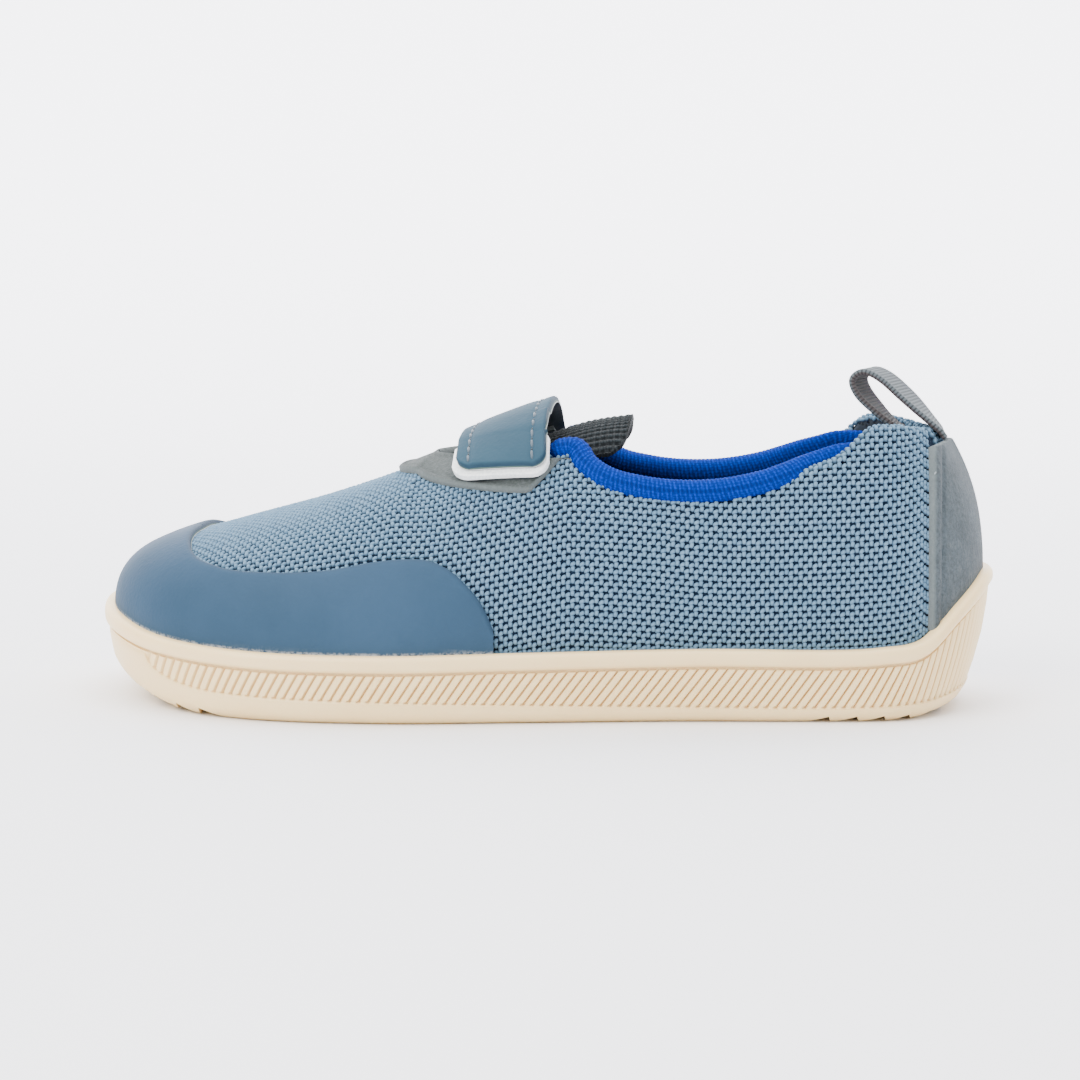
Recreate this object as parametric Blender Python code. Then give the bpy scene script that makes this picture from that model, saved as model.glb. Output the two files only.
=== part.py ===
"""Child's barefoot shoe for the left foot: a knit upper in a moulded cup sole, with leather overlays,
a strap and a pull loop. Toe at -X, heel at +X, little-toe side at -Y, sole on Z = 0. Metres.

Every place on the upper has a ring coordinate, which runs from -1 at the toe along the little-toe side
to 0 at the heel and on to +1 at the toe, and a level, which is -1 at the upper's bottom edge inside the
sole, 0 at the sole's rim and 1 at the collar, throat or ridge."""

import math

import bmesh
import bpy
import numpy as np

MM = 0.001
CLEARANCE = 0.3 * MM

# Sole
SOLE_LENGTH = 195 * MM
BALL_WIDTH = 81 * MM
HEEL_WIDTH = 61 * MM
SIDE_HEIGHT = 14.5 * MM
HEEL_CUP_HEIGHT = 29.5 * MM
TOE_RIM_HEIGHT = 20.5 * MM
TOE_SPRING = 5.6 * MM
SOLE_THICKNESS = 6.0 * MM
SOLE_WALL = 3.3 * MM
BEAD_HEIGHT = 3.5 * MM
BEAD_PROUD = 0.6 * MM
GROOVE_HEIGHT = 0.6 * MM
GROOVE_DEPTH = 0.7 * MM
BAND_STEP = 0.3 * MM
RIB_PITCH = 2.0 * MM
RIB_GROOVE_WIDTH = 0.55 * MM
RIB_GROOVE_DEPTH = 0.4 * MM
RIB_FREE_TOE = 15 * MM
LUG_PITCH = 5.9 * MM
LUG_DEPTH = 1.4 * MM
LUG_TIP = 1.0 * MM
LUG_STEEP = 0.3 * MM
HEEL_LUGS = 4
HEEL_LUG_START = 11.5 * MM
TOE_LUGS = 3
TOE_LUG_START = 10 * MM

# Upper
UPPER_WALL = 2.2 * MM
HEEL_TOP_HEIGHT = 60.0 * MM
ANKLE_HEIGHT = 50.0 * MM
INSTEP_HEIGHT = 64.0 * MM
TOE_HEIGHT = 33.0 * MM
COLLAR_WIDTH = 44.0 * MM
INSTEP_RADIUS = 30.0 * MM

# Overlays and trim
OVERLAY_LIFT = 0.45 * MM
GUARD_THICKNESS = 1.2 * MM
COUNTER_FRONT = 15 * MM
COUNTER_THICKNESS = 1.3 * MM
COUNTER_TOP_DROP = 2.6 * MM
EYESTAY_THICKNESS = 1.2 * MM
EYESTAY_REACH = 26.4 * MM
EYESTAY_END = 0.658
ROLL_HEIGHT = 5.0 * MM
ROLL_THICKNESS = 4.8 * MM
ROLL_GAP = 0.75 * MM
LINING_HEIGHT = 12.0 * MM
LINING_THICKNESS = 3.0 * MM
LINING_DROP = 1.2 * MM
TONGUE_THICKNESS = 3.0 * MM
TONGUE_WIDTH = 37.0 * MM
TONGUE_DEPTH = 4.3 * MM
INSOLE_THICKNESS = 3.0 * MM
STRAP_WIDTH = 19.0 * MM
STRAP_THICKNESS = 1.8 * MM
STRAP_REACH = 10.0 * MM
PATCH_MARGIN = 1.4 * MM
PATCH_THICKNESS = 1.2 * MM
LOOP_WIDTH = 12.0 * MM
LOOP_THICKNESS = 1.3 * MM
LOOP_LENGTH = 20.0 * MM
LOOP_OPENING = 6.0 * MM
LOOP_LEAN = math.radians(48)

# Stations along the ring where the upper changes: the wrap of the collar roll into the shoe, the throat's
# corner with the collar, its front end, and the ends of the overlays.
WRAP_IN, WRAP_OUT = 0.20, 0.33
THROAT_CORNER = 0.475
ROLL_END = 0.497
THROAT_FRONT = 0.60
THROAT_ROUNDING = 0.05
GUARD_REAR = 0.52

# Plan of the sole: half width in heel widths and in ball widths, and the centre line's swing to the
# big-toe side in ball widths.
PLAN = (
    # station, heel_half, ball_half, swing
    (0.0, 0.000, 0.000, 0.000),
    (0.1, 0.266, 0.000, 0.000),
    (0.2, 0.451, 0.000, 0.000),
    (0.3, 0.497, 0.000, -0.004),
    (0.4, 0.260, 0.193, -0.018),
    (0.5, 0.080, 0.372, -0.028),
    (0.6, 0.000, 0.489, -0.018),
    (0.7, 0.000, 0.494, 0.012),
    (0.8, 0.000, 0.414, 0.056),
    (0.9, 0.000, 0.247, 0.093),
    (1.0, 0.000, 0.000, 0.110),
)
# Side of the sole: the rim's rise to the heel cup and to the toe, the boundary line's height in side
# heights, the rib's slope in degrees from the floor, the bead's height, the inward lean of the side at the
# floor and the rounding of its bottom edge in sole walls.
SIDE = (
    # station, cup_share, toe_share, boundary, rib_slope, bead, lean, rounding
    (0.00, 1.000, 0.00, 0.42, 90, 0.92, 2.00, 1.55),
    (0.05, 0.985, 0.00, 0.41, 84, 0.92, 1.90, 1.50),
    (0.09, 0.830, 0.00, 0.38, 80, 0.94, 1.60, 1.35),
    (0.13, 0.590, 0.00, 0.33, 76, 0.97, 1.25, 1.15),
    (0.18, 0.175, 0.00, 0.27, 71, 1.00, 0.75, 0.80),
    (0.23, 0.085, 0.00, 0.24, 62, 1.00, 0.50, 0.72),
    (0.38, 0.065, 0.00, 0.24, 53, 1.00, 0.40, 0.72),
    (0.50, 0.030, 0.00, 0.29, 53, 1.00, 0.40, 0.72),
    (0.60, 0.000, 0.00, 0.34, 57, 1.00, 0.40, 0.72),
    (0.70, 0.000, 0.05, 0.38, 60, 1.00, 0.45, 0.75),
    (0.80, 0.000, 0.28, 0.46, 64, 1.00, 0.70, 0.90),
    (0.90, 0.000, 0.76, 0.60, 70, 1.15, 1.15, 1.15),
    (1.00, 0.000, 1.00, 0.70, 80, 1.30, 1.40, 1.25),
)
SPRING = ((0.74, 0.0), (0.80, 0.13), (0.85, 0.42), (0.90, 0.76), (0.95, 0.95), (1.0, 1.0))
# Top line of the last over the collar and throat: place along the sole, half width in collar widths,
# share of the heel top's height against the instep's, how much steeper than the instep's curve the wall
# arrives at the top, in degrees, and
# how far the wall's section keeps its direction at the rim and at the top, in chords of the section.
TOP = (
    # station, along, half, heel_share, slope, rise, reach
    (0.000, 0.067, 0.000, 1.00, 55, 0.42, 0.33),
    (0.100, 0.086, 0.240, 1.00, 39, 0.40, 0.33),
    (0.200, 0.132, 0.405, 0.95, 30, 0.38, 0.33),
    (0.300, 0.214, 0.460, 0.65, 24, 0.38, 0.33),
    (0.400, 0.333, 0.450, 0.16, 15, 0.38, 0.35),
    (0.475, 0.455, 0.400, 0.00, 6, 0.38, 0.38),
    (0.520, 0.516, 0.345, 0.00, 2, 0.39, 0.39),
    (0.560, 0.567, 0.290, 0.00, 0, 0.40, 0.40),
    (0.600, 0.613, 0.240, 0.00, 2, 0.41, 0.42),
    (0.700, 0.722, 0.000, 0.00, 5, 0.43, 0.44),
    (0.800, 0.815, 0.000, 0.00, 8, 0.44, 0.42),
    (0.900, 0.877, 0.000, 0.00, 12, 0.44, 0.38),
    (1.000, 0.913, 0.000, 0.00, 17, 0.44, 0.36),
)
# Collar line: its rise from the ankle to the heel top and to the throat corner.
COLLAR = (
    # station, heel_share, corner_share
    (0.000, 0.86, 0.00),
    (0.100, 0.93, 0.00),
    (0.200, 1.00, 0.00),
    (0.290, 0.62, 0.00),
    (0.340, 0.18, 0.00),
    (0.385, 0.00, 0.00),
    (0.425, 0.00, 0.10),
    (0.450, 0.00, 0.36),
    (0.463, 0.00, 0.66),
    (0.475, 0.00, 1.00),
)
# Ridge of the last over toes and instep: height between the toe height and the instep height, and the
# ridge's place to the big-toe side in ball widths.
RIDGE = (
    # along, rise, side
    (0.36, 1.07, 0.000),
    (0.40, 1.05, 0.000),
    (0.45, 1.00, 0.006),
    (0.50, 0.90, 0.012),
    (0.55, 0.78, 0.020),
    (0.61, 0.62, 0.032),
    (0.67, 0.47, 0.048),
    (0.73, 0.34, 0.060),
    (0.82, 0.18, 0.078),
    (0.88, 0.07, 0.086),
    (0.913, 0.0, 0.090),
)
# Upper edge of the toe guard, in toe heights.
GUARD_LINE = (
    # along, height
    (0.518, 0.25),
    (0.527, 0.46),
    (0.540, 0.67),
    (0.566, 0.88),
    (0.595, 0.99),
    (0.630, 1.01),
    (0.660, 0.99),
    (0.706, 0.94),
    (0.776, 0.91),
    (0.833, 0.92),
    (0.872, 0.98),
    (0.900, 1.11),
)
# Half width and middle depth of the tongue under the last, and its thickness.
TONGUE = (
    # along, half in tongue widths, depth in tongue depths, thickness in tongue thicknesses
    (0.400, 0.22, 0.97, 0.30),
    (0.402, 0.33, 0.98, 0.60),
    (0.406, 0.41, 1.00, 0.90),
    (0.414, 0.47, 1.00, 1.00),
    (0.440, 0.50, 1.00, 1.00),
    (0.500, 0.48, 1.00, 1.00),
    (0.560, 0.43, 0.86, 0.90),
    (0.610, 0.36, 0.66, 0.70),
    (0.635, 0.30, 0.60, 0.55),
)
# Pull loop's middle line, from its outer foot over the tip to its inner foot.
LOOP = (
    # reach in loop lengths, height across in loop openings
    (0.14, 0.46),
    (0.50, 0.58),
    (0.80, 0.50),
    (0.97, 0.22),
    (0.98, -0.24),
    (0.83, -0.45),
    (0.58, -0.45),
    (0.36, -0.37),
    (0.19, -0.26),
)

COLOURS = {
    # name: (red, green, blue, roughness)
    "outsole": (0.79, 0.69, 0.55, 0.55),
    "insole": (0.05, 0.06, 0.08, 0.90),
    "upper": (0.27, 0.40, 0.50, 0.85),
    "toe_guard": (0.18, 0.29, 0.41, 0.45),
    "heel_counter": (0.20, 0.25, 0.27, 0.95),
    "eyestay": (0.25, 0.29, 0.28, 0.95),
    "collar_binding": (0.005, 0.12, 0.58, 0.85),
    "tongue": (0.03, 0.045, 0.05, 0.90),
    "strap": (0.19, 0.27, 0.34, 0.50),
    "fastener_patch": (0.88, 0.89, 0.88, 0.40),
    "pull_loop": (0.26, 0.29, 0.30, 0.80),
}


def through(rows, column, at, level_ends=True):
    """A column of the rows, read at a value of their first column on a smooth curve through them."""
    x, y = np.array([(row[0], row[column]) for row in rows], float).T
    slope = np.gradient(y, x)
    if level_ends:
        slope[0] = slope[-1] = 0
    at = np.clip(at, x[0], x[-1])
    k = np.clip(np.searchsorted(x, at) - 1, 0, len(x) - 2)
    run = x[k + 1] - x[k]
    s = (at - x[k]) / run
    start = y[k] * (1 + 2 * s) + slope[k] * run * s
    end = y[k + 1] * (3 - 2 * s) - slope[k + 1] * run * (1 - s)
    return start * (1 - s) ** 2 + end * s**2


def unit(vectors):
    return vectors / np.maximum(np.linalg.norm(vectors, axis=-1, keepdims=True), 1e-12)


def solve(function, target, low, high):
    """Where a rising function reaches the target, by halving the range."""
    low, high = np.broadcast_arrays(np.asarray(low, float), np.asarray(high, float))
    low, high = low.copy(), high.copy()
    for _ in range(36):
        middle = (low + high) / 2
        short = function(middle) < target
        low = np.where(short, middle, low)
        high = np.where(short, high, middle)
    return (low + high) / 2


def wrapped(ring):
    return (np.asarray(ring, float) + 1) % 2 - 1


def side_of(ring):
    return np.where(ring < 0, -1.0, 1.0)


def sole_edge(ring):
    """Outermost line of the sole in plan, not yet centred."""
    t = np.abs(ring)
    along = (1 - np.cos(np.pi * t)) / 2
    half = HEEL_WIDTH * through(PLAN, 1, t, False) + BALL_WIDTH * through(PLAN, 2, t, False)
    swing = BALL_WIDTH * through(PLAN, 3, t)
    return np.stack([SOLE_LENGTH * (0.5 - along), swing + side_of(ring) * half], -1)


ALL_ROUND = np.linspace(-1, 1, 1601)
EDGE_Y = sole_edge(ALL_ROUND)[:, 1]
MIDDLE_Y = (EDGE_Y.min() + EDGE_Y.max()) / 2


def plan(ring, inset):
    """Plan point, this far inside the outermost line of the sole."""
    ring = wrapped(ring)
    step = 1e-4
    before, after = wrapped(ring - step), wrapped(ring + step)
    tangent = unit(sole_edge(after) - sole_edge(before))
    inward = np.stack([-tangent[..., 1], tangent[..., 0]], -1)
    inset = np.broadcast_to(inset, ring.shape)
    return sole_edge(ring) - np.array([0, MIDDLE_Y]) + inward * inset[..., None]


def raised(points, height):
    height = np.broadcast_to(height, points.shape[:-1])
    return np.concatenate([points, height[..., None]], -1)


def rim_height(ring):
    t = np.abs(ring)
    cup = (HEEL_CUP_HEIGHT - SIDE_HEIGHT) * through(SIDE, 1, t)
    toe = (TOE_RIM_HEIGHT - SIDE_HEIGHT) * through(SIDE, 2, t)
    return SIDE_HEIGHT + cup + toe


def ground(ring):
    return TOE_SPRING * through(SPRING, 1, np.abs(ring))


def floor_height(ring):
    return ground(ring) + SOLE_THICKNESS


def side_inset(ring, height):
    """How far the sole's side lies inside its outermost line at a height."""
    t = np.abs(ring)
    share = np.clip(1 - height / rim_height(ring), 0, 1)
    rounding = SOLE_WALL * through(SIDE, 7, t)
    corner = np.clip(1 - (height - ground(ring)) / rounding, 0, 1)
    return BEAD_PROUD + SOLE_WALL * through(SIDE, 6, t) * share**2 + rounding * corner**2.2


RIM_INSET = BEAD_PROUD + SOLE_WALL
RIM_LEVEL = 0.02


def foot_inset(ring):
    """Inset of the upper's outer face where it stands on the sole's floor."""
    share = np.clip(1 - floor_height(ring) / rim_height(ring), 0, 1)
    return RIM_INSET + SOLE_WALL * through(SIDE, 6, np.abs(ring)) * share**2


def ridge(along):
    """Height of the ridge of the last, its place across, and its slope along X."""
    step = 1e-3
    height = TOE_HEIGHT + (INSTEP_HEIGHT - TOE_HEIGHT) * through(RIDGE, 1, along, False)
    ahead = TOE_HEIGHT + (INSTEP_HEIGHT - TOE_HEIGHT) * through(RIDGE, 1, along + step, False)
    across = BALL_WIDTH * through(RIDGE, 2, along) - MIDDLE_Y
    return height, across, (height - ahead) / (step * SOLE_LENGTH)


def dome_drop(across):
    return INSTEP_RADIUS - np.sqrt(INSTEP_RADIUS**2 - across**2)


def throat_half(t):
    """Half width of the top line, which closes in a round end at the front of the throat."""
    closing = np.clip((THROAT_FRONT - t) / THROAT_ROUNDING, 0, 1)
    return COLLAR_WIDTH * np.maximum(through(TOP, 2, t, False), 0) * np.sqrt(closing * (2 - closing))


def top_line(ring):
    """Top of the last: the collar's upper reach, the throat's edge, and the ridge ahead of the throat."""
    t = np.abs(ring)
    along = through(TOP, 1, t, False)
    half = throat_half(t)
    crest, across, _ = ridge(along)
    edge = crest - dome_drop(half)
    height = edge + (HEEL_TOP_HEIGHT - edge) * through(TOP, 3, t)
    return np.stack([SOLE_LENGTH * (0.5 - along), across + side_of(ring) * half, height], -1)


def surface(ring, level):
    """Point on the outer face of the knit upper."""
    ring, level = np.broadcast_arrays(wrapped(ring), np.asarray(level, float))
    t = np.abs(ring)
    rim = raised(plan(ring, RIM_INSET), rim_height(ring) - CLEARANCE)
    foot = raised(plan(ring, foot_inset(ring)), floor_height(ring) + CLEARANCE)
    top = top_line(ring)
    gap = top - rim
    chord = np.linalg.norm(gap, axis=-1, keepdims=True)
    heading = gap * np.array([1, 1, 0])
    steepness = np.radians(through(TOP, 4, t)) + np.arcsin(throat_half(t) / INSTEP_RADIUS)
    slope = steepness[..., None]
    arrival = unit(heading) * np.cos(slope) + np.array([0, 0, 1]) * np.sin(slope)
    first = rim + np.array([0, 0, 1]) * chord * through(TOP, 5, t)[..., None]
    second = top - arrival * chord * through(TOP, 6, t)[..., None]
    s = np.clip(level, 0, 1)[..., None]
    above = rim * (1 - s) ** 3 + first * 3 * s * (1 - s) ** 2 + second * 3 * s**2 * (1 - s) + top * s**3
    below = np.clip(-level, 0, 1)[..., None]
    return above + (foot - rim) * below


def outward(ring, level):
    """Direction that points out of the upper, square to its face."""
    ring, level = np.broadcast_arrays(wrapped(ring), np.asarray(level, float))
    step = 2e-3
    around = surface(ring + step, level) - surface(ring - step, level)
    upward = surface(ring, np.minimum(level + step, 1)) - surface(ring, np.minimum(level + step, 1) - 2 * step)
    normal = unit(np.cross(around, upward))
    along = through(TOP, 1, np.abs(ring), False)
    slope = ridge(along)[2]
    on_ridge = unit(np.stack([-slope, np.zeros_like(slope), np.ones_like(slope)], -1))
    crest = (np.abs(ring) >= THROAT_FRONT) & (level > 1 - 1e-6)
    return np.where(crest[..., None], on_ridge, normal)


def skin(ring, level, depth):
    """Point this deep under the upper's outer face; a negative depth lies outside it."""
    depth = np.broadcast_to(depth, np.broadcast(ring, level).shape)
    return surface(ring, level) - outward(ring, level) * depth[..., None]


def edge_height(ring):
    """Height of the edge where collar and throat are cut from the last."""
    t = np.abs(ring)
    corner = top_line(np.array(THROAT_CORNER))[2]
    heel = (HEEL_TOP_HEIGHT - ANKLE_HEIGHT) * through(COLLAR, 1, t)
    collar = ANKLE_HEIGHT + heel + (corner - ANKLE_HEIGHT) * through(COLLAR, 2, t, False)
    return np.where(t < THROAT_CORNER, collar, top_line(ring)[..., 2])


def slant(ring):
    """How much farther a width reaches down the wall where the edge above it slopes."""
    step = 0.008
    ring = np.asarray(ring, float)
    run = top_line(ring + step)[..., :2] - top_line(ring - step)[..., :2]
    climb = edge_height(ring + step) - edge_height(ring - step)
    return np.sqrt(1 + climb**2 / np.sum(run**2, axis=-1))


def level_below(ring, drop):
    """Level this far down the wall from the edge of the collar or throat."""
    ring = np.asarray(ring, float)
    marks = np.linspace(0, 1, 61)
    line = surface(ring[..., None], marks)
    steps = np.linalg.norm(np.diff(line, axis=-2), axis=-1)[..., ::-1]
    travelled = np.concatenate([np.zeros_like(steps[..., :1]), np.cumsum(steps, -1)], -1)
    flat = travelled.reshape(-1, len(marks))
    heights = line[..., 2].reshape(-1, len(marks))
    cut = edge_height(ring).reshape(-1)
    drops = np.broadcast_to(drop, ring.shape).reshape(-1)
    levels = []
    for far, row, high, edge in zip(drops, flat, heights, cut):
        start = np.interp(edge, high, row[::-1])
        levels.append(np.interp(start + far, row, 1 - marks))
    return np.array(levels).reshape(ring.shape)


def ease(share):
    share = np.clip(share, 0, 1)
    return share * share * (3 - 2 * share)


def stations(*marks, spacing):
    """Values from the first mark to the last, through each mark, about this far apart."""
    values = [marks[0]]
    for start, end in zip(marks, marks[1:]):
        count = max(1, round(abs(end - start) / spacing))
        values += [start + (end - start) * (k + 1) / count for k in range(count)]
    return np.array(values)


def both_sides(half):
    """Ring values from one end on the little-toe side to the last of these stations and back opposite."""
    return np.concatenate([-half, half[::-1][1:]])


def material(name):
    red, green, blue, roughness = COLOURS[name]
    made = bpy.data.materials.new(name)
    made.use_nodes = True
    shader = made.node_tree.nodes["Principled BSDF"]
    shader.inputs["Base Color"].default_value = (red, green, blue, 1)
    shader.inputs["Roughness"].default_value = roughness
    made.diffuse_color = (red, green, blue, 1)
    return made


def add_solid(name, points, faces, crease=35):
    """Object from points and faces, with its faces turned out and its round parts smooth."""
    mesh = bpy.data.meshes.new(name)
    mesh.from_pydata([tuple(map(float, point)) for point in points], [], faces)
    work = bmesh.new()
    work.from_mesh(mesh)
    bmesh.ops.recalc_face_normals(work, faces=work.faces)
    if work.calc_volume(signed=True) < 0:
        bmesh.ops.reverse_faces(work, faces=work.faces)
    work.to_mesh(mesh)
    work.free()
    mesh.shade_smooth()
    mesh.set_sharp_from_angle(angle=math.radians(crease))
    mesh.materials.append(material(name))
    made = bpy.data.objects.new(name, mesh)
    bpy.context.scene.collection.objects.link(made)
    return made


def layered(name, keys, outer, inner):
    """Solid between two sheets of points. Equal keys share a point, and open edges get a wall."""
    rows, columns = outer.shape[:2]
    numbers = {}
    first = []
    index = np.empty((rows, columns), int)
    for r in range(rows):
        for c in range(columns):
            key = keys[r][c]
            if key not in numbers:
                numbers[key] = len(numbers)
                first.append((r, c))
            index[r, c] = numbers[key]
    count = len(first)
    points = [outer[place] for place in first] + [inner[place] for place in first]
    sheet = []
    for r in range(rows - 1):
        for c in range(columns - 1):
            corners = [index[r, c], index[r, c + 1], index[r + 1, c + 1], index[r + 1, c]]
            loop = [int(p) for k, p in enumerate(corners) if p != corners[k - 1]]
            if len(set(loop)) >= 3:
                sheet.append(loop)
    edges = {}
    for loop in sheet:
        for a, b in zip(loop, loop[1:] + loop[:1]):
            edges[(a, b)] = edges.get((a, b), 0) + 1
    walls = [(a, b) for a, b in edges if (b, a) not in edges]
    faces = sheet + [[p + count for p in reversed(loop)] for loop in sheet]
    faces += [[b, a, a + count, b + count] for a, b in walls]
    return add_solid(name, points, faces)


def panel(name, ring, level, outer_depth, inner_depth):
    """Part of a layer that lies on the upper, between two depths, over a grid of ring and level."""
    ring = wrapped(ring)
    ring, level = np.broadcast_arrays(ring, level)
    joined = (np.abs(ring) >= THROAT_FRONT - 1e-9) & (level > 1 - 1e-6)
    place = np.where(joined | (np.abs(ring) > 1 - 1e-9), np.abs(ring), ring)
    keys = [[(round(float(a), 6), round(float(b), 6)) for a, b in zip(*row)] for row in zip(place, level)]
    use = np.where(joined, np.abs(ring), ring)
    return layered(name, keys, skin(use, level, outer_depth), skin(use, level, inner_depth))


def swept(name, sections):
    """Solid through closed sections of equal count, with flat ends."""
    rings, count = len(sections), len(sections[0])
    points = [point for section in sections for point in section]
    faces = []
    for r in range(rings - 1):
        for c in range(count):
            d = (c + 1) % count
            faces.append([r * count + c, r * count + d, (r + 1) * count + d, (r + 1) * count + c])
    faces.append(list(range(count))[::-1])
    faces.append([(rings - 1) * count + c for c in range(count)])
    return add_solid(name, points, faces)


def bridge(faces, lower, upper):
    """Triangles between two closed rows of (place, point number), each sorted by its place."""
    i = j = 0
    while i < len(lower) or j < len(upper):
        a, b = lower[i % len(lower)], upper[j % len(upper)]
        next_a = lower[(i + 1) % len(lower)][0] + (2 if i + 1 >= len(lower) else 0)
        next_b = upper[(j + 1) % len(upper)][0] + (2 if j + 1 >= len(upper) else 0)
        if j >= len(upper) or (i < len(lower) and next_a <= next_b):
            faces.append([a[1], lower[(i + 1) % len(lower)][1], b[1]])
            i += 1
        else:
            faces.append([a[1], upper[(j + 1) % len(upper)][1], b[1]])
            j += 1


def arc_places(ring_values):
    """Distance from the heel along the sole's outermost line."""
    points = sole_edge(ring_values)
    return np.concatenate([[0], np.cumsum(np.linalg.norm(np.diff(points, axis=0), axis=1))])


def rib_top(ring):
    return rim_height(ring) - bead_height(ring) - GROOVE_HEIGHT


def bead_height(ring):
    return BEAD_HEIGHT * through(SIDE, 5, np.abs(ring))


def rib_end():
    """Station where the ribs stop, short of the toe."""
    return math.acos(1 - 2 * (1 - RIB_FREE_TOE / SOLE_LENGTH)) / math.pi


def rib_bottom(ring):
    """Boundary line between the ribs and the smooth band, which climbs to the groove before the toe."""
    low = SIDE_HEIGHT * through(SIDE, 3, np.abs(ring))
    climb = np.clip((np.abs(ring) - rib_end() + 0.09) / 0.09, 0, 1)
    share = 1 - np.sqrt(1 - climb**2)
    least = rib_top(ring) - BAND_STEP
    return np.minimum(low + (least - low) * share, least)


def rib_rows():
    """Ring places of the ribs' points at bottom and top of their band, and how deep each lies."""
    fine = np.linspace(0, 1, 4001)
    rows = []
    for side in (-1, 1):
        arc = arc_places(side * fine)
        end = np.interp(rib_end(), fine, arc)
        count = int(end / RIB_PITCH)
        half_groove = RIB_GROOVE_WIDTH / 2
        for k in range(count):
            middle = (k + 0.5) * RIB_PITCH
            for shift, depth in ((-half_groove, 0), (0, RIB_GROOVE_DEPTH), (half_groove, 0)):
                low = np.interp(middle + shift, arc, fine)
                tall = rib_top(low) - rib_bottom(low)
                slope = math.radians(float(through(SIDE, 4, low)))
                high = np.interp(max(middle + shift - tall / math.tan(slope), 0), arc, fine)
                fade = np.clip(tall / RIB_GROOVE_WIDTH / 2, 0, 1)
                rows.append((side * low, side * high, depth * fade))
        for station in np.linspace(rib_end() + 0.01, 1, 8):
            if station < 1 or side > 0:
                rows.append((side * station, side * station, 0))
    rows.append((0.0, 0.0, 0.0))
    return np.array(sorted(rows))


def lug_profile():
    """Stations along the sole's bottom with the height of the lugs there, from heel to toe."""
    marks = [(0.0, 0.0)]
    tip_start = LUG_PITCH - LUG_STEEP - LUG_TIP
    for k in range(HEEL_LUGS):
        start = HEEL_LUG_START + k * LUG_PITCH
        marks += [(start, LUG_DEPTH), (start + tip_start, 0.0), (start + tip_start + LUG_TIP, 0.0)]
    last = HEEL_LUG_START + HEEL_LUGS * LUG_PITCH
    marks += [(last, LUG_DEPTH), (last + tip_start, 0.0)]
    toe = SOLE_LENGTH - TOE_LUG_START - TOE_LUGS * LUG_PITCH
    plain = [(d, 0.0) for d in np.linspace(last + 2 * LUG_PITCH, toe - 2 * LUG_PITCH, 12)]
    marks += plain + [(toe - LUG_PITCH, 0.0)]
    for k in range(TOE_LUGS):
        start = toe + k * LUG_PITCH
        marks += [(start, LUG_DEPTH), (start + LUG_STEEP, 0.0), (start + LUG_STEEP + LUG_TIP, 0.0)]
    marks += [(SOLE_LENGTH - TOE_LUG_START, LUG_DEPTH)]
    marks += [(SOLE_LENGTH - TOE_LUG_START + LUG_STEEP, 0.0), (SOLE_LENGTH - TOE_LUG_START / 2, 0.0)]
    marks += [(SOLE_LENGTH, 0.0)]
    return [(math.acos(1 - 2 * d / SOLE_LENGTH) / math.pi, z) for d, z in marks]


def make_outsole():
    coarse = stations(0, 0.25, 0.75, 1, spacing=0.0235)
    ring = np.concatenate([-coarse[:0:-1], coarse[:-1]])
    ring = np.append(ring, 1.0)[1:]
    ribs = rib_rows()
    lugs = lug_profile()
    points, faces = [], []

    def add_row(places, inset, height):
        row = raised(plan(places, inset), height)
        start = len(points)
        points.extend(row)
        return [(float(place), start + k) for k, place in enumerate(places)]

    def side_row(height):
        return add_row(ring, side_inset(ring, height), height)

    rim, bead, low, top = rim_height(ring), bead_height(ring), rib_bottom(ring), rib_top(ring)
    rise = low - BAND_STEP - ground(ring)
    lug_ring = np.array([-t for t, _ in lugs[:0:-1]] + [t for t, _ in lugs])
    lug_rise = np.array([z for _, z in lugs[:0:-1]] + [z for _, z in lugs])
    lug_ring, lug_rise = lug_ring[1:], lug_rise[1:]
    bottom = add_row(lug_ring, side_inset(lug_ring, ground(lug_ring)), ground(lug_ring) + lug_rise)
    rows = [bottom]
    rows.append(side_row(ground(ring) + np.minimum(1.3 * LUG_DEPTH, 0.45 * rise)))
    rows.append(side_row(ground(ring) + 0.66 * rise))
    rows.append(side_row(low - BAND_STEP))
    rib_low, rib_high, depth = ribs.T
    step_in = side_inset(rib_low, rib_bottom(rib_low)) + BAND_STEP
    rows.append(add_row(rib_low, step_in + depth, rib_bottom(rib_low)))
    rows.append(add_row(rib_high, side_inset(rib_high, rib_top(rib_high)) + BAND_STEP + depth, rib_top(rib_high)))
    face = side_inset(ring, top)
    rows.append(add_row(ring, face + GROOVE_DEPTH, top + 0.2 * GROOVE_HEIGHT))
    rows.append(add_row(ring, face + 0.6 * GROOVE_DEPTH, top + GROOVE_HEIGHT))
    rows.append(add_row(ring, np.full_like(ring, 0.05 * BEAD_PROUD), rim - 0.74 * bead))
    rows.append(add_row(ring, np.full_like(ring, 0.10 * BEAD_PROUD), rim - 0.30 * bead))
    rows.append(add_row(ring, np.full_like(ring, 0.38 * SOLE_WALL), rim - 0.02 * bead))
    inner = RIM_INSET - CLEARANCE
    rows.append(add_row(ring, np.full_like(ring, inner), rim - 0.10 * bead))
    inside = add_row(ring, foot_inset(ring) - CLEARANCE, floor_height(ring))
    rows.append(inside)
    for lower, upper in zip(rows, rows[1:]):
        if [place for place, _ in lower] == [place for place, _ in upper]:
            count = len(lower)
            for k in range(count):
                n = (k + 1) % count
                faces.append([lower[k][1], lower[n][1], upper[n][1], upper[k][1]])
        elif len(lower) == len(upper) == len(ribs):
            count = len(lower)
            for k in range(count):
                n = (k + 1) % count
                faces.append([lower[k][1], lower[n][1], upper[n][1], upper[k][1]])
        else:
            bridge(faces, lower, upper)
    across(faces, bottom)
    across(faces, inside)
    return add_solid("outsole", points, faces)


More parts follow.
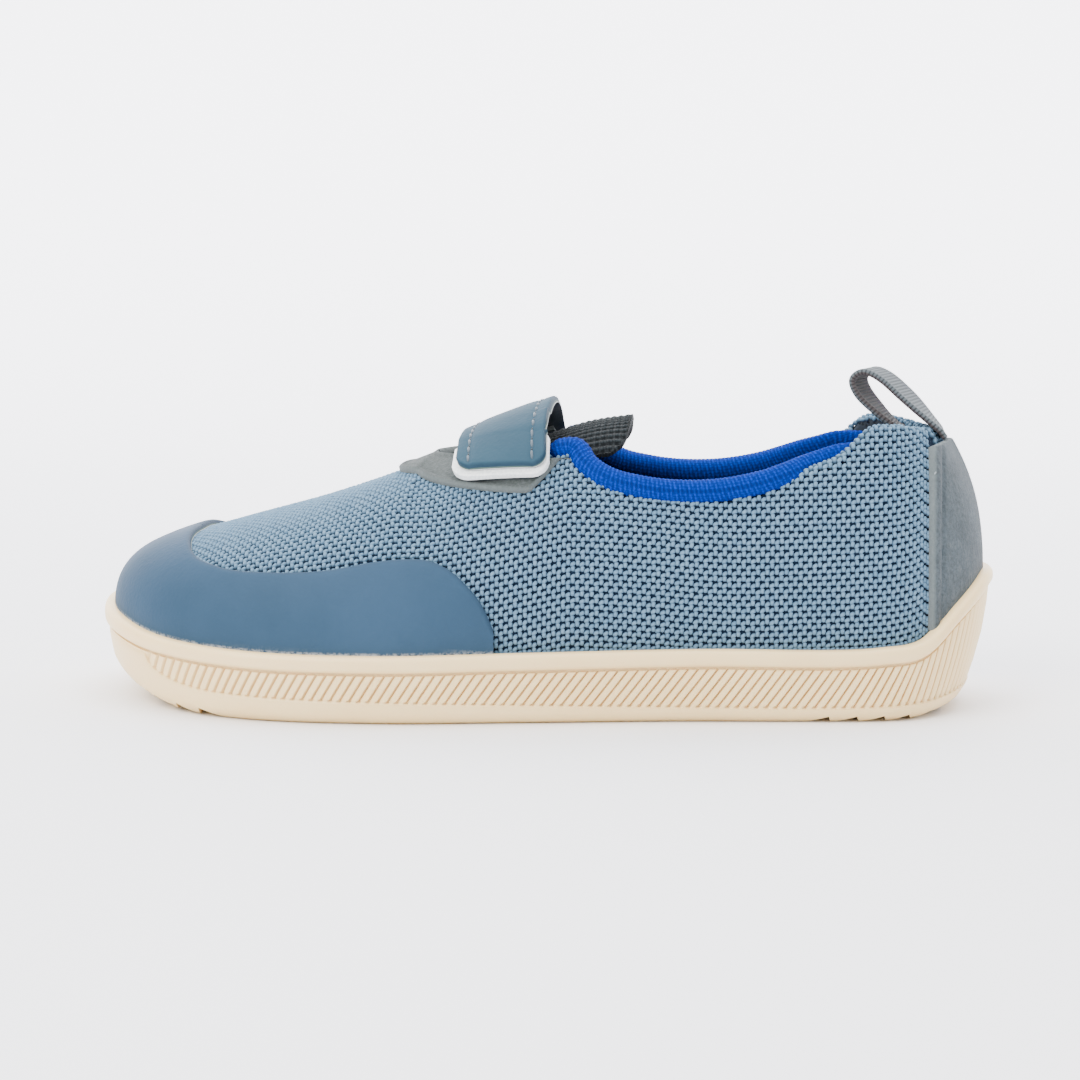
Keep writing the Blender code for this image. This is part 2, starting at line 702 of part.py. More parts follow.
def across(faces, row):
    """Strips from side to side that fill a closed row with matching stations on both sides."""
    by_place = {round(place, 9): number for place, number in row}
    half = sorted(place for place in by_place if place > 0)
    heel, toe = by_place[0.0], by_place[1.0]
    pairs = [(by_place[-place], by_place[place]) for place in half if place < 1]
    faces.append([heel, pairs[0][0], pairs[0][1]])
    for (a, b), (c, d) in zip(pairs, pairs[1:]):
        faces.append([a, c, d, b])
    faces.append([pairs[-1][0], toe, pairs[-1][1]])


def collar_stations():
    return stations(0, WRAP_IN, WRAP_OUT, 0.43, ROLL_END, spacing=0.0235)


def throat_stations():
    """Stations along the throat's edge from the end of the roll, closer together at its front."""
    start = ROLL_END + 0.004
    return start + (THROAT_FRONT - start) * np.sin(np.linspace(0, math.pi / 2, 7))


def upper_top(ring, extra=0):
    """Level of the knit's top edge, which stays under the collar roll where the roll sits on it."""
    t = np.abs(ring)
    rise = ease(2 * (WRAP_OUT - t) / (WRAP_OUT - WRAP_IN) - 1)
    covered = (t < ROLL_END + 0.002) * (1 - rise)
    return level_below(ring, (ROLL_HEIGHT + ROLL_GAP + extra) * covered * slant(ring))


def make_upper():
    half = np.concatenate([collar_stations(), throat_stations(), stations(THROAT_FRONT, 1, spacing=0.0333)[1:]])
    ring = both_sides(half)
    level = np.linspace(0, 1, 9) * upper_top(ring)[:, None]
    level = np.concatenate([np.full((len(ring), 1), -1.0), level], 1)
    return panel("upper", ring[:, None], level, 0, UPPER_WALL)


def place_along(points):
    return 0.5 - points[..., 0] / SOLE_LENGTH


def guard_edge(ring):
    """Level of the toe guard's upper edge, which crosses the ridge behind the toe."""

    def over_line(level):
        point = surface(ring, level)
        return point[..., 2] - TOE_HEIGHT * through(GUARD_LINE, 1, place_along(point), False)

    level = solve(over_line, 0, np.zeros_like(ring), 1.0)
    return np.where(level > 0.999, 1, level)


def make_toe_guard():
    crest = float(solve(lambda t: -guard_room(t), 0, 0.8, 0.95))
    rear = stations(GUARD_REAR, 0.56, THROAT_FRONT, spacing=0.0067)[:-4]
    front = stations(THROAT_FRONT, 1, spacing=0.0333)
    turn = stations(0.8, 0.9, spacing=0.0167)
    half = np.array(sorted(set(np.concatenate([rear, front, turn, [crest]]).round(6))))
    ring = both_sides(half)
    edge = guard_edge(ring)
    edge = np.where(np.abs(ring) >= crest - 1e-9, 1, edge)
    low = RIM_LEVEL
    level = low + np.linspace(0, 1, 6) * (np.maximum(edge, low)[:, None] - low)
    return panel("toe_guard", ring[:, None], level, -OVERLAY_LIFT - GUARD_THICKNESS, -OVERLAY_LIFT)


def guard_room(t):
    """How far the ridge stands above the toe guard's line at a station."""
    point = surface(-t, 1.0)
    return point[..., 2] - TOE_HEIGHT * through(GUARD_LINE, 1, place_along(point), False)


def counter_front(side, level):
    """Ring place where a level line crosses the counter's front edge."""
    x = SOLE_LENGTH / 2 - COUNTER_FRONT
    return solve(lambda t: -surface(side * t, level)[..., 0], -x, np.zeros_like(level), 0.4)


def make_heel_counter():
    top = float(level_below(np.array(0.0), COUNTER_TOP_DROP))
    level = np.linspace(RIM_LEVEL, top, 9)
    shares = np.linspace(-1, 1, 13)
    left, right = counter_front(-1, level), counter_front(1, level)
    ring = np.where(shares < 0, shares * left[:, None], shares * right[:, None])
    return panel("heel_counter", ring, level[:, None], -OVERLAY_LIFT - COUNTER_THICKNESS, -OVERLAY_LIFT)


def eyestay_edge(ring):
    """Level of the eyestay's outer edge: straight beside the throat, then half an oval ahead of it."""
    start = float(through(TOP, 1, THROAT_CORNER, False))

    def over_line(level):
        point = surface(ring, level)
        along = place_along(point)
        reach = np.abs(point[..., 1] - ridge(along)[1])
        ahead = np.clip((along - start) / (EYESTAY_END - start), 0, 1)
        return EYESTAY_REACH * np.sqrt(1 - ahead**2.6) - reach

    return solve(over_line, 0, np.full_like(ring, 0.3), 1.0)


def make_eyestay():
    front = float(solve(lambda s: through(TOP, 1, s, False), EYESTAY_END, THROAT_FRONT, 0.7))
    half = stations(THROAT_CORNER, ROLL_END, spacing=0.011)
    half = np.concatenate([half, throat_stations(), [front - (front - THROAT_FRONT) * s**2 for s in
                                                      np.linspace(1, 0, 6)[1:]]])
    ring = both_sides(half)
    t = np.abs(ring)
    top = np.where(t >= THROAT_FRONT - 1e-9, 1, upper_top(ring, CLEARANCE))
    low = np.where(t >= front - 1e-9, 1, np.minimum(eyestay_edge(ring), top))
    level = low[:, None] + np.linspace(0, 1, 5) * (top - low)[:, None]
    return panel("eyestay", ring[:, None], level, -OVERLAY_LIFT - EYESTAY_THICKNESS, -OVERLAY_LIFT)


def make_collar_binding():
    ring = both_sides(collar_stations()[::-1])
    t = np.abs(ring)
    inside = ease(2 * (WRAP_OUT - t) / (WRAP_OUT - WRAP_IN))
    fall = ease(2 * (WRAP_OUT - t) / (WRAP_OUT - WRAP_IN) - 1)
    half_width = (ROLL_THICKNESS + (LINING_THICKNESS - ROLL_THICKNESS) * inside) / 2
    half_height = (ROLL_HEIGHT + (LINING_HEIGHT - ROLL_HEIGHT) * fall) / 2
    depth = UPPER_WALL / 2 + (UPPER_WALL / 2 + CLEARANCE + half_width) * inside
    drop = half_height * slant(ring) + fall * LINING_DROP
    middle = skin(ring, level_below(ring, drop), depth)
    side = outward(ring, level_below(ring, drop))
    path = unit(np.gradient(middle, axis=0))
    upward = unit(np.cross(path, side))
    upward = upward * np.sign(upward[:, 2:])
    count = 8
    sections = []
    for k in range(len(ring)):
        end_share = min(k, len(ring) - 1 - k)
        narrow = (0.55, 0.88)[end_share] if end_share < 2 else 1.0
        section = []
        for c in range(count):
            angle = 2 * math.pi * c / count
            out = math.copysign(abs(math.cos(angle)) ** 0.8, math.cos(angle))
            rise = math.copysign(abs(math.sin(angle)) ** 0.8, math.sin(angle))
            reach = side[k] * out * half_width[k] + upward[k] * rise * half_height[k]
            section.append(middle[k] + reach * narrow)
        sections.append(section)
    return swept("collar_binding", sections)


def dome(along, y, depth):
    """Point over the instep at a signed distance from the ridge, this deep under the last."""
    height, across_ridge, slope = ridge(along)
    x = SOLE_LENGTH * (0.5 - along)
    down = np.sqrt(INSTEP_RADIUS**2 - y**2)
    normal = unit(np.stack([-slope * np.ones_like(y), y / down, np.ones_like(y)], -1))
    base = np.stack([x * np.ones_like(y), across_ridge + y, height - dome_drop(y)], -1)
    return base - normal * np.broadcast_to(depth, y.shape)[..., None]


def sheet_keys(rows, columns):
    return [[(r, c) for c in range(columns)] for r in range(rows)]


def make_tongue():
    marks = [row[0] for row in TONGUE]
    along = np.concatenate([marks[:4], stations(marks[4], marks[-1], spacing=0.0325)])[:, None]
    half = TONGUE_WIDTH * through(TONGUE, 1, along)
    share = np.sin(np.linspace(-1, 1, 9) * math.pi / 2)
    y = share * half
    depth = TONGUE_DEPTH * through(TONGUE, 2, along)
    thick = TONGUE_THICKNESS * through(TONGUE, 3, along)
    rounding = np.sqrt(np.clip(1 - np.abs(share) ** 3, 0.12, 1))
    top = depth + (1 - rounding) * thick / 2
    bottom = depth + thick - (1 - rounding) * thick / 2
    return layered("tongue", sheet_keys(*y.shape), dome(along, y, top), dome(along, y, bottom))


def over_instep(along, place, depth):
    """Point on the line over the instep: place 0 is the ridge, 1 the throat's edge, and beyond it the
    distance down the wall in metres is added to 1."""
    along, place, depth = np.broadcast_arrays(np.asarray(along, float), place, depth)
    drop = np.maximum(np.abs(place) - 1, 0)
    side = side_of(place)
    x = SOLE_LENGTH * (0.5 - along)

    def level_at(t):
        return level_below(side * t, drop)

    low, high = THROAT_CORNER - 0.06, THROAT_FRONT + 0.03
    t = solve(lambda s: -surface(side * s, level_at(s))[..., 0], -x, np.full_like(x, low), high)
    edge = solve(lambda s: through(TOP, 1, s, False), along, np.full_like(x, 0.4), THROAT_FRONT)
    half = throat_half(edge)
    on_dome = dome(along, np.clip(place, -1, 1) * half, depth)
    on_wall = skin(side * t, level_at(t), depth)
    return np.where((np.abs(place) <= 1)[..., None], on_dome, on_wall)


STRAP_REAR = 0.478


def strap_places(reach_low, reach_high):
    """Places across the instep, from the little-toe side to the other."""
    low = -1 - np.linspace(reach_low, 0, 5)[:-1]
    middle = np.linspace(-1, 1, 9)
    high = 1 + np.linspace(0, reach_high, 5)[1:]
    return np.concatenate([low, middle, high])


def make_strap():
    width = STRAP_WIDTH / SOLE_LENGTH
    along = STRAP_REAR + np.linspace(0, width, 6)[:, None]
    place = strap_places(STRAP_REACH, STRAP_REACH)[None, :]
    sewn_end = OVERLAY_LIFT + EYESTAY_THICKNESS + CLEARANCE
    free_end = sewn_end + PATCH_THICKNESS + CLEARANCE
    share = ease((np.clip(place, -1, 1) + 1) / 2)
    sag = 1.0 * MM * np.clip(1 - place**2, 0, 1)
    under = free_end + (sewn_end - free_end) * share - sag
    rounded = np.abs(np.linspace(-1, 1, 6)[:, None]) ** 6
    end = place[:, :1] * 0 + np.abs(place)
    pull = np.where(end > 1, (end - 1) / STRAP_REACH * rounded * 1.6 * MM, 0)
    place = np.sign(place) * (np.abs(place) - pull)
    outer = over_instep(along, place, -under - STRAP_THICKNESS)
    inner = over_instep(along, place, -under)
    return layered("strap", sheet_keys(*outer.shape[:2]), outer, inner)


def make_fastener_patch():
    width = (STRAP_WIDTH + PATCH_MARGIN) / SOLE_LENGTH
    along = STRAP_REAR + 0.006 + np.linspace(0, width - 0.006, 6)[:, None]
    place = -1 - np.linspace(STRAP_REACH + PATCH_MARGIN, 0.8 * MM, 6)[None, :]
    rounded = np.linspace(0, 1, 6)[:, None] ** 6
    pull = (np.abs(place) - 1) / STRAP_REACH * rounded * 2.2 * MM
    place = place + pull
    under = OVERLAY_LIFT + EYESTAY_THICKNESS + CLEARANCE
    outer = over_instep(along, place, -under - PATCH_THICKNESS)
    inner = over_instep(along, place, -under)
    return layered("fastener_patch", sheet_keys(*outer.shape[:2]), outer, inner)


def make_insole():
    half = stations(0, 0.25, 0.75, 1, spacing=0.04)
    ring = np.concatenate([-half, half[::-1][1:-1]])
    inset = foot_inset(ring) + UPPER_WALL + CLEARANCE
    points, faces = [], []
    rows = []
    for height, more in ((CLEARANCE, 0.25 * MM), (INSOLE_THICKNESS, 0)):
        row = raised(plan(ring, inset + more), floor_height(ring) + height)
        start = len(points)
        points.extend(row)
        rows.append([(round(float(place), 9), start + k) for k, place in enumerate(ring)])
    for k in range(len(ring)):
        n = (k + 1) % len(ring)
        faces.append([rows[0][k][1], rows[0][n][1], rows[1][n][1], rows[1][k][1]])
    for row in rows:
        across(faces, [(abs(place) if abs(place) in (0, 1) else place, number) for place, number in row])
    return add_solid("insole", points, faces)


def make_pull_loop():
    heel = np.array(0.0)
    low = level_below(heel, COUNTER_TOP_DROP - 3 * CLEARANCE)
    outer_depth = -CLEARANCE - LOOP_THICKNESS / 2
    pad = UPPER_WALL + CLEARANCE + LINING_THICKNESS
    foot = skin(heel, low, outer_depth)
    top = level_below(heel, 0)
    edge = skin(heel, top, outer_depth)
    up = unit(edge - foot)
    out = outward(heel, top)
    bow = LOOP_WIDTH**2 / (2 * COLLAR_WIDTH)
    inner_depth = pad + CLEARANCE + bow + LOOP_THICKNESS / 2
    inner = skin(heel, level_below(heel, 5 * MM), inner_depth)
    inner_edge = skin(heel, level_below(heel, 1.5 * MM), inner_depth)
    middle = (edge + inner_edge) / 2
    lean = np.array([-math.cos(LOOP_LEAN), 0, math.sin(LOOP_LEAN)])
    rise = np.array([math.sin(LOOP_LEAN), 0, math.cos(LOOP_LEAN)])
    route = [foot, edge + up * 0.4 * MM + out * 0.1 * MM]
    route += [middle + lean * reach * LOOP_LENGTH + rise * height * LOOP_OPENING for reach, height in LOOP]
    route += [inner_edge, inner]
    route = np.array(route)
    rows = [(k, *point) for k, point in enumerate(route)]
    at = np.linspace(0, len(route) - 1, 3 * (len(route) - 1) + 1)
    line = np.stack([through(rows, 1 + axis, at, False) for axis in range(3)], -1)
    along = unit(np.gradient(line, axis=0))
    side = unit(np.cross(np.array([0, 1, 0]), along))
    y = np.linspace(-LOOP_WIDTH / 2, LOOP_WIDTH / 2, 2)
    across_y = np.stack([y * 0, y, y * 0], -1)
    outer = line[:, None, :] + side[:, None, :] * LOOP_THICKNESS / 2 + across_y[None]
    inner_face = line[:, None, :] - side[:, None, :] * LOOP_THICKNESS / 2 + across_y[None]
    return layered("pull_loop", sheet_keys(*outer.shape[:2]), outer, inner_face)


for old in list(bpy.data.objects):
    bpy.data.objects.remove(old, do_unlink=True)

make_outsole()
make_insole()
make_upper()
make_toe_guard()
make_heel_counter()
make_eyestay()
make_collar_binding()
make_tongue()
make_strap()
make_fastener_patch()
make_pull_loop()
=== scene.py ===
import math

import bmesh
import bpy
import numpy as np
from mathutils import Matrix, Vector


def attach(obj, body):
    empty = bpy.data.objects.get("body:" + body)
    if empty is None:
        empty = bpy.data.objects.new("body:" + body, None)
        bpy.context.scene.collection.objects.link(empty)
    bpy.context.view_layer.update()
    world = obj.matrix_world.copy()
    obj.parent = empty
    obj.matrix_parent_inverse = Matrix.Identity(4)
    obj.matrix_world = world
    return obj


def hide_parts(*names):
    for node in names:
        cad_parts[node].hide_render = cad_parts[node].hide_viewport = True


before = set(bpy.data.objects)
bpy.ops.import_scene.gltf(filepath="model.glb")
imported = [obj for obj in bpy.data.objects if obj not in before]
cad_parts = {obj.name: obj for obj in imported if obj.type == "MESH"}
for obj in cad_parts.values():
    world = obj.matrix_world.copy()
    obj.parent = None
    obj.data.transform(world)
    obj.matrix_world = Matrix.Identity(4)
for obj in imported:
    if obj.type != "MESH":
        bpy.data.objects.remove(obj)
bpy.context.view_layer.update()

MM = 0.001

# Sole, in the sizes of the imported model
CLEARANCE = 0.3 * MM
SOLE_LENGTH = 195 * MM
BALL_WIDTH = 81 * MM
HEEL_WIDTH = 61 * MM
SIDE_HEIGHT = 14.5 * MM
HEEL_CUP_HEIGHT = 29.5 * MM
TOE_RIM_HEIGHT = 20.5 * MM
TOE_SPRING = 5.6 * MM
SOLE_THICKNESS = 6.0 * MM
SOLE_WALL = 3.3 * MM
BEAD_HEIGHT = 3.5 * MM
BEAD_PROUD = 0.6 * MM
GROOVE_HEIGHT = 0.6 * MM
GROOVE_DEPTH = 0.7 * MM
BAND_STEP = 0.3 * MM
RIB_PITCH = 2.0 * MM
RIB_GROOVE_DEPTH = 0.5 * MM
RIB_TILT = 0.26 * MM
RIB_FREE_TOE = 15 * MM
LUG_PITCH = 5.9 * MM
LUG_DEPTH = 1.4 * MM
TOE_LUG_DEPTH = 1.9 * MM
LUG_FREE_END = 13 * MM
LUG_TIP = 1.0 * MM
LUG_STEEP = 0.3 * MM
HEEL_LUGS = 4
HEEL_LUG_START = 11.5 * MM
TOE_LUGS = 3
TOE_LUG_START = 10 * MM

# Upper
UPPER_WALL = 2.2 * MM
HEEL_TOP_HEIGHT = 60.0 * MM
ANKLE_HEIGHT = 50.0 * MM
INSTEP_HEIGHT = 64.0 * MM
TOE_HEIGHT = 33.0 * MM
COLLAR_WIDTH = 44.0 * MM
INSTEP_RADIUS = 30.0 * MM

# Overlays and trim
OVERLAY_LIFT = 0.45 * MM
GUARD_THICKNESS = 1.2 * MM
COUNTER_FRONT = 15 * MM
COUNTER_THICKNESS = 1.3 * MM
COUNTER_TOP_DROP = 2.6 * MM
EYESTAY_THICKNESS = 1.2 * MM
EYESTAY_REACH = 26.4 * MM
EYESTAY_END = 0.658
ROLL_HEIGHT = 5.0 * MM
ROLL_THICKNESS = 4.8 * MM
ROLL_GAP = 0.75 * MM
LINING_HEIGHT = 12.0 * MM
LINING_THICKNESS = 3.0 * MM
LINING_DROP = 1.2 * MM
TONGUE_THICKNESS = 3.0 * MM
TONGUE_WIDTH = 37.0 * MM
TONGUE_DEPTH = 4.3 * MM
INSOLE_THICKNESS = 3.0 * MM
STRAP_REAR = 0.478
STRAP_WIDTH = 19.0 * MM
STRAP_THICKNESS = 1.8 * MM
STRAP_REACH = 10.0 * MM
STRAP_SAG = 1.0 * MM
STRAP_CORNER = 3.2 * MM
CURL = 0.5 * MM
PATCH_CORNER = 3.4 * MM
PATCH_MARGIN = 1.4 * MM
PATCH_THICKNESS = 1.2 * MM
LOOP_WIDTH = 12.0 * MM
LOOP_THICKNESS = 1.3 * MM
LOOP_LENGTH = 20.0 * MM
LOOP_OPENING = 6.0 * MM
LOOP_LEAN = math.radians(48)
LOOP_TURN = math.radians(17)
TURN_START = 3 * MM
TURN_RUN = 11 * MM

# Stitches, ribs and pitches of the surfaces
KNIT_COLUMN = 1.95 * MM
KNIT_ROW = 1.28 * MM
YARN_SINK = 0.35 * MM
LIP_RADIUS = UPPER_WALL / 2 + 0.2 * MM
LIP_TURN = 3.4 * MM
UNDER_GUARD = 0.027  # share of the wall's height that the knit runs on under the toe guard
UNDER_SUEDE = 0.024  # the same under the counter and the eyestay
LEVELS = np.linspace(1, 0, 61)  # from the top edge of the last to the sole's rim
COLLAR_RIB = 0.95 * MM
COLLAR_RELIEF = 0.05 * MM
TONGUE_RIB = 1.9 * MM
TONGUE_LOOP = 1.5 * MM
TONGUE_RELIEF = 0.22 * MM
TONGUE_BEAD = 0.10 * MM
WEB_RIB = 0.8 * MM
WEB_RELIEF = 0.09 * MM
WEB_SINK = 0.12 * MM
STITCH_PITCH = 3.0 * MM
STITCH_INSET = 2.8 * MM
STITCH_HALF_LENGTH = 1.25 * MM
THREAD_RADIUS = 0.30 * MM
HOLE_HALF_LENGTH = 0.34 * MM
HOLE_HALF_WIDTH = 0.36 * MM
TWILL_BANDS = 0.42 / MM  # the footbed's twill, coarser than the real one so that it shows
TACK_DROPS = (0.10, 0.125, 0.15)  # levels below the counter's top
TACK_INSET = 0.012  # ring shares behind the counter's front edge
TACK_STEP = 0.004

# A ring value runs round the shoe from 0 at the heel to 1 at the toe, and is negative on the outer side.
# A level runs up the last from 0 at the sole's rim to 1 at its top edge.
WRAP_IN, WRAP_OUT = 0.20, 0.33
THROAT_CORNER = 0.475
ROLL_END = 0.497
THROAT_FRONT = 0.60
THROAT_ROUNDING = 0.05
GUARD_REAR = 0.52
EYESTAY_START = 0.50
MARKS = np.linspace(1, 0, 81)  # levels at which distances down the wall are measured

PLAN = (
    # station, heel_half, ball_half, swing
    (0.0, 0.000, 0.000, 0.000),
    (0.1, 0.266, 0.000, 0.000),
    (0.2, 0.451, 0.000, 0.000),
    (0.3, 0.497, 0.000, -0.004),
    (0.4, 0.260, 0.193, -0.018),
    (0.5, 0.080, 0.372, -0.028),
    (0.6, 0.000, 0.489, -0.018),
    (0.7, 0.000, 0.494, 0.012),
    (0.8, 0.000, 0.414, 0.056),
    (0.9, 0.000, 0.247, 0.093),
    (1.0, 0.000, 0.000, 0.110),
)
SIDE = (
    # station, cup_share, toe_share, boundary, rib_slope, bead, lean, rounding
    (0.00, 1.000, 0.00, 0.42, 90, 0.92, 2.00, 1.55),
    (0.05, 0.985, 0.00, 0.41, 84, 0.92, 1.90, 1.50),
    (0.09, 0.830, 0.00, 0.38, 80, 0.94, 1.60, 1.35),
    (0.13, 0.590, 0.00, 0.33, 76, 0.97, 1.25, 1.15),
    (0.18, 0.175, 0.00, 0.27, 71, 1.00, 0.75, 0.80),
    (0.23, 0.085, 0.00, 0.24, 62, 1.00, 0.50, 0.72),
    (0.38, 0.065, 0.00, 0.24, 53, 1.00, 0.40, 0.72),
    (0.50, 0.030, 0.00, 0.29, 53, 1.00, 0.40, 0.72),
    (0.60, 0.000, 0.00, 0.34, 57, 1.00, 0.40, 0.72),
    (0.70, 0.000, 0.05, 0.38, 60, 1.00, 0.45, 0.75),
    (0.80, 0.000, 0.28, 0.46, 64, 1.00, 0.70, 0.90),
    (0.90, 0.000, 0.76, 0.60, 70, 1.15, 1.15, 1.15),
    (1.00, 0.000, 1.00, 0.70, 80, 1.30, 1.40, 1.25),
)
SPRING = ((0.74, 0.0), (0.80, 0.13), (0.85, 0.42), (0.90, 0.76), (0.95, 0.95), (1.0, 1.0))
TOP = (
    # station, along, half, heel_share, steepness, rise, reach
    (0.000, 0.067, 0.000, 1.00, 55, 0.42, 0.33),
    (0.100, 0.086, 0.240, 1.00, 39, 0.40, 0.33),
    (0.200, 0.132, 0.405, 0.95, 30, 0.38, 0.33),
    (0.300, 0.214, 0.460, 0.65, 24, 0.38, 0.33),
    (0.400, 0.333, 0.450, 0.16, 15, 0.38, 0.35),
    (0.475, 0.455, 0.400, 0.00, 6, 0.38, 0.38),
    (0.520, 0.516, 0.345, 0.00, 2, 0.39, 0.39),
    (0.560, 0.567, 0.290, 0.00, 0, 0.40, 0.40),
    (0.600, 0.613, 0.240, 0.00, 2, 0.41, 0.42),
    (0.700, 0.722, 0.000, 0.00, 5, 0.43, 0.44),
    (0.800, 0.815, 0.000, 0.00, 8, 0.44, 0.42),
    (0.900, 0.877, 0.000, 0.00, 12, 0.44, 0.38),
    (1.000, 0.913, 0.000, 0.00, 17, 0.44, 0.36),
)
COLLAR = (
    # station, heel_share, corner_share
    (0.000, 0.86, 0.00),
    (0.100, 0.93, 0.00),
    (0.200, 1.00, 0.00),
    (0.290, 0.62, 0.00),
    (0.340, 0.18, 0.00),
    (0.385, 0.00, 0.00),
    (0.425, 0.00, 0.10),
    (0.450, 0.00, 0.36),
    (0.463, 0.00, 0.66),
    (0.475, 0.00, 1.00),
)
RIDGE = (
    # along, rise, side
    (0.36, 1.07, 0.000),
    (0.40, 1.05, 0.000),
    (0.45, 1.00, 0.006),
    (0.50, 0.90, 0.012),
    (0.55, 0.78, 0.020),
    (0.61, 0.62, 0.032),
    (0.67, 0.47, 0.048),
    (0.73, 0.34, 0.060),
    (0.82, 0.18, 0.078),
    (0.88, 0.07, 0.086),
    (0.913, 0.0, 0.090),
)
GUARD_LINE = (
    # along, height
    (0.518, 0.25),
    (0.527, 0.46),
    (0.540, 0.67),
    (0.566, 0.88),
    (0.595, 0.99),
    (0.630, 1.01),
    (0.660, 0.99),
    (0.706, 0.94),
    (0.776, 0.91),
    (0.833, 0.92),
    (0.872, 0.98),
    (0.900, 1.11),
)
TONGUE = (
    # along, half in tongue widths, depth in tongue depths, thickness in tongue thicknesses
    (0.400, 0.22, 0.97, 0.30),
    (0.402, 0.33, 0.98, 0.60),
    (0.406, 0.41, 1.00, 0.90),
    (0.414, 0.47, 1.00, 1.00),
    (0.440, 0.50, 1.00, 1.00),
    (0.500, 0.48, 1.00, 1.00),
    (0.560, 0.43, 0.86, 0.90),
    (0.610, 0.36, 0.66, 0.70),
    (0.635, 0.30, 0.60, 0.55),
)
LOOP = (
    # reach in loop lengths, height across in loop openings
    (0.14, 0.69),
    (0.50, 0.62),
    (0.80, 0.50),
    (0.97, 0.22),
    (0.98, -0.24),
    (0.83, -0.45),
    (0.58, -0.45),
    (0.36, -0.37),
    (0.19, -0.26),
)
PUFFS = (
    # parity, shift along in columns, shift down in rows, tilt, half length, half width, plumpness in mm
    (1, 0.0, 0.27, 84, 0.68, 0.50, 0.56),
    (0, 0.0, 0.54, 33, 0.73, 0.48, 0.50),
)
# Soft folds of the knit: where each starts and ends, how wide and how deep it is.
FOLDS = (
    # side, along and height in mm at both ends, half width, depth
    (-1, 0.10, 20, 0.20, 47, 3.2, 0.55),
    (-1, 0.17, 19, 0.30, 36, 4.0, 0.45),
    (-1, 0.47, 18, 0.44, 44, 4.5, 0.60),
    (-1, 0.535, 34, 0.60, 41, 2.6, 0.50),
    (-1, 0.64, 36, 0.70, 42, 2.6, 0.40),
    (1, 0.12, 22, 0.22, 45, 3.6, 0.50),
    (1, 0.45, 18, 0.47, 42, 4.5, 0.55),
    (1, 0.62, 36, 0.66, 43, 2.8, 0.45),
)


def through(rows, column, at, level_ends=True):
    """A column of the rows, read at a value of their first column on a smooth curve through them."""
    x, y = np.array([(row[0], row[column]) for row in rows], float).T
    slope = np.gradient(y, x)
    if level_ends:
        slope[0] = slope[-1] = 0
    at = np.clip(at, x[0], x[-1])
    k = np.clip(np.searchsorted(x, at) - 1, 0, len(x) - 2)
    run = x[k + 1] - x[k]
    s = (at - x[k]) / run
    start = y[k] * (1 + 2 * s) + slope[k] * run * s
    end = y[k + 1] * (3 - 2 * s) - slope[k + 1] * run * (1 - s)
    return start * (1 - s) ** 2 + end * s**2


def curve_through(marks, points, at):
    """Points on a smooth curve through the given ones."""
    rows = np.column_stack([marks, points])
    return np.stack([through(rows, 1 + axis, at, False) for axis in range(points.shape[1])], -1)


def unit(vectors):
    """Vectors of length 1 in the same directions."""
    return vectors / np.maximum(np.linalg.norm(vectors, axis=-1, keepdims=True), 1e-12)


def distance_along(line):
    """Distance of each point of a line from its first, along the line."""
    return np.concatenate([[0], np.cumsum(np.linalg.norm(np.diff(line, axis=0), axis=1))])


def solve(function, target, low, high):
    """Where a rising function reaches the target, by halving the range."""
    low, high = np.broadcast_arrays(np.asarray(low, float), np.asarray(high, float))
    low, high = low.copy(), high.copy()
    for _ in range(30):
        middle = (low + high) / 2
        short = function(middle) < target
        low = np.where(short, middle, low)
        high = np.where(short, high, middle)
    return (low + high) / 2


def ease(share):
    """A share from 0 to 1 with soft ends."""
    share = np.clip(share, 0, 1)
    return share * share * (3 - 2 * share)


def wrapped(ring):
    """Ring values brought back between -1 and 1."""
    return (np.asarray(ring, float) + 1) % 2 - 1


def side_of(ring):
    """-1 on the outer side of the shoe and 1 on the inner side."""
    return np.where(ring < 0, -1.0, 1.0)


def both_sides(half):
    """Ring values of the outer side, then of the inner one, joined where half ends."""
    return np.concatenate([-half, half[::-1][1:]])


def stations(*marks, spacing):
    """Values from mark to mark, about this far apart."""
    values = [marks[0]]
    for start, end in zip(marks, marks[1:]):
        count = max(1, round(abs(end - start) / spacing))
        values += [start + (end - start) * (k + 1) / count for k in range(count)]
    return np.array(values)


def sole_edge(ring):
    """Plan point on the outermost line of the sole."""
    t = np.abs(ring)
    along = (1 - np.cos(np.pi * t)) / 2
    half = HEEL_WIDTH * through(PLAN, 1, t, False) + BALL_WIDTH * through(PLAN, 2, t, False)
    swing = BALL_WIDTH * through(PLAN, 3, t)
    return np.stack([SOLE_LENGTH * (0.5 - along), swing + side_of(ring) * half], -1)


EDGE_Y = sole_edge(np.linspace(-1, 1, 1601))[:, 1]
MIDDLE_Y = (EDGE_Y.min() + EDGE_Y.max()) / 2


def plan(ring, inset):
    """Plan point, this far inside the outermost line of the sole."""
    ring = wrapped(ring)
    step = 1e-4
    tangent = unit(sole_edge(wrapped(ring + step)) - sole_edge(wrapped(ring - step)))
    inward = np.stack([-tangent[..., 1], tangent[..., 0]], -1)
    inset = np.broadcast_to(inset, ring.shape)
    return sole_edge(ring) - np.array([0, MIDDLE_Y]) + inward * inset[..., None]


def raised(points, height):
    """Plan points set at a height."""
    height = np.broadcast_to(height, points.shape[:-1])
    return np.concatenate([points, height[..., None]], -1)


def rim_height(ring):
    """Height of the sole's rim, raised at the heel cup and the toe bumper."""
    t = np.abs(ring)
    cup = (HEEL_CUP_HEIGHT - SIDE_HEIGHT) * through(SIDE, 1, t)
    toe = (TOE_RIM_HEIGHT - SIDE_HEIGHT) * through(SIDE, 2, t)
    return SIDE_HEIGHT + cup + toe


def ground(ring):
    """Height of the sole's underside, level but for the toe spring."""
    return TOE_SPRING * through(SPRING, 1, np.abs(ring))


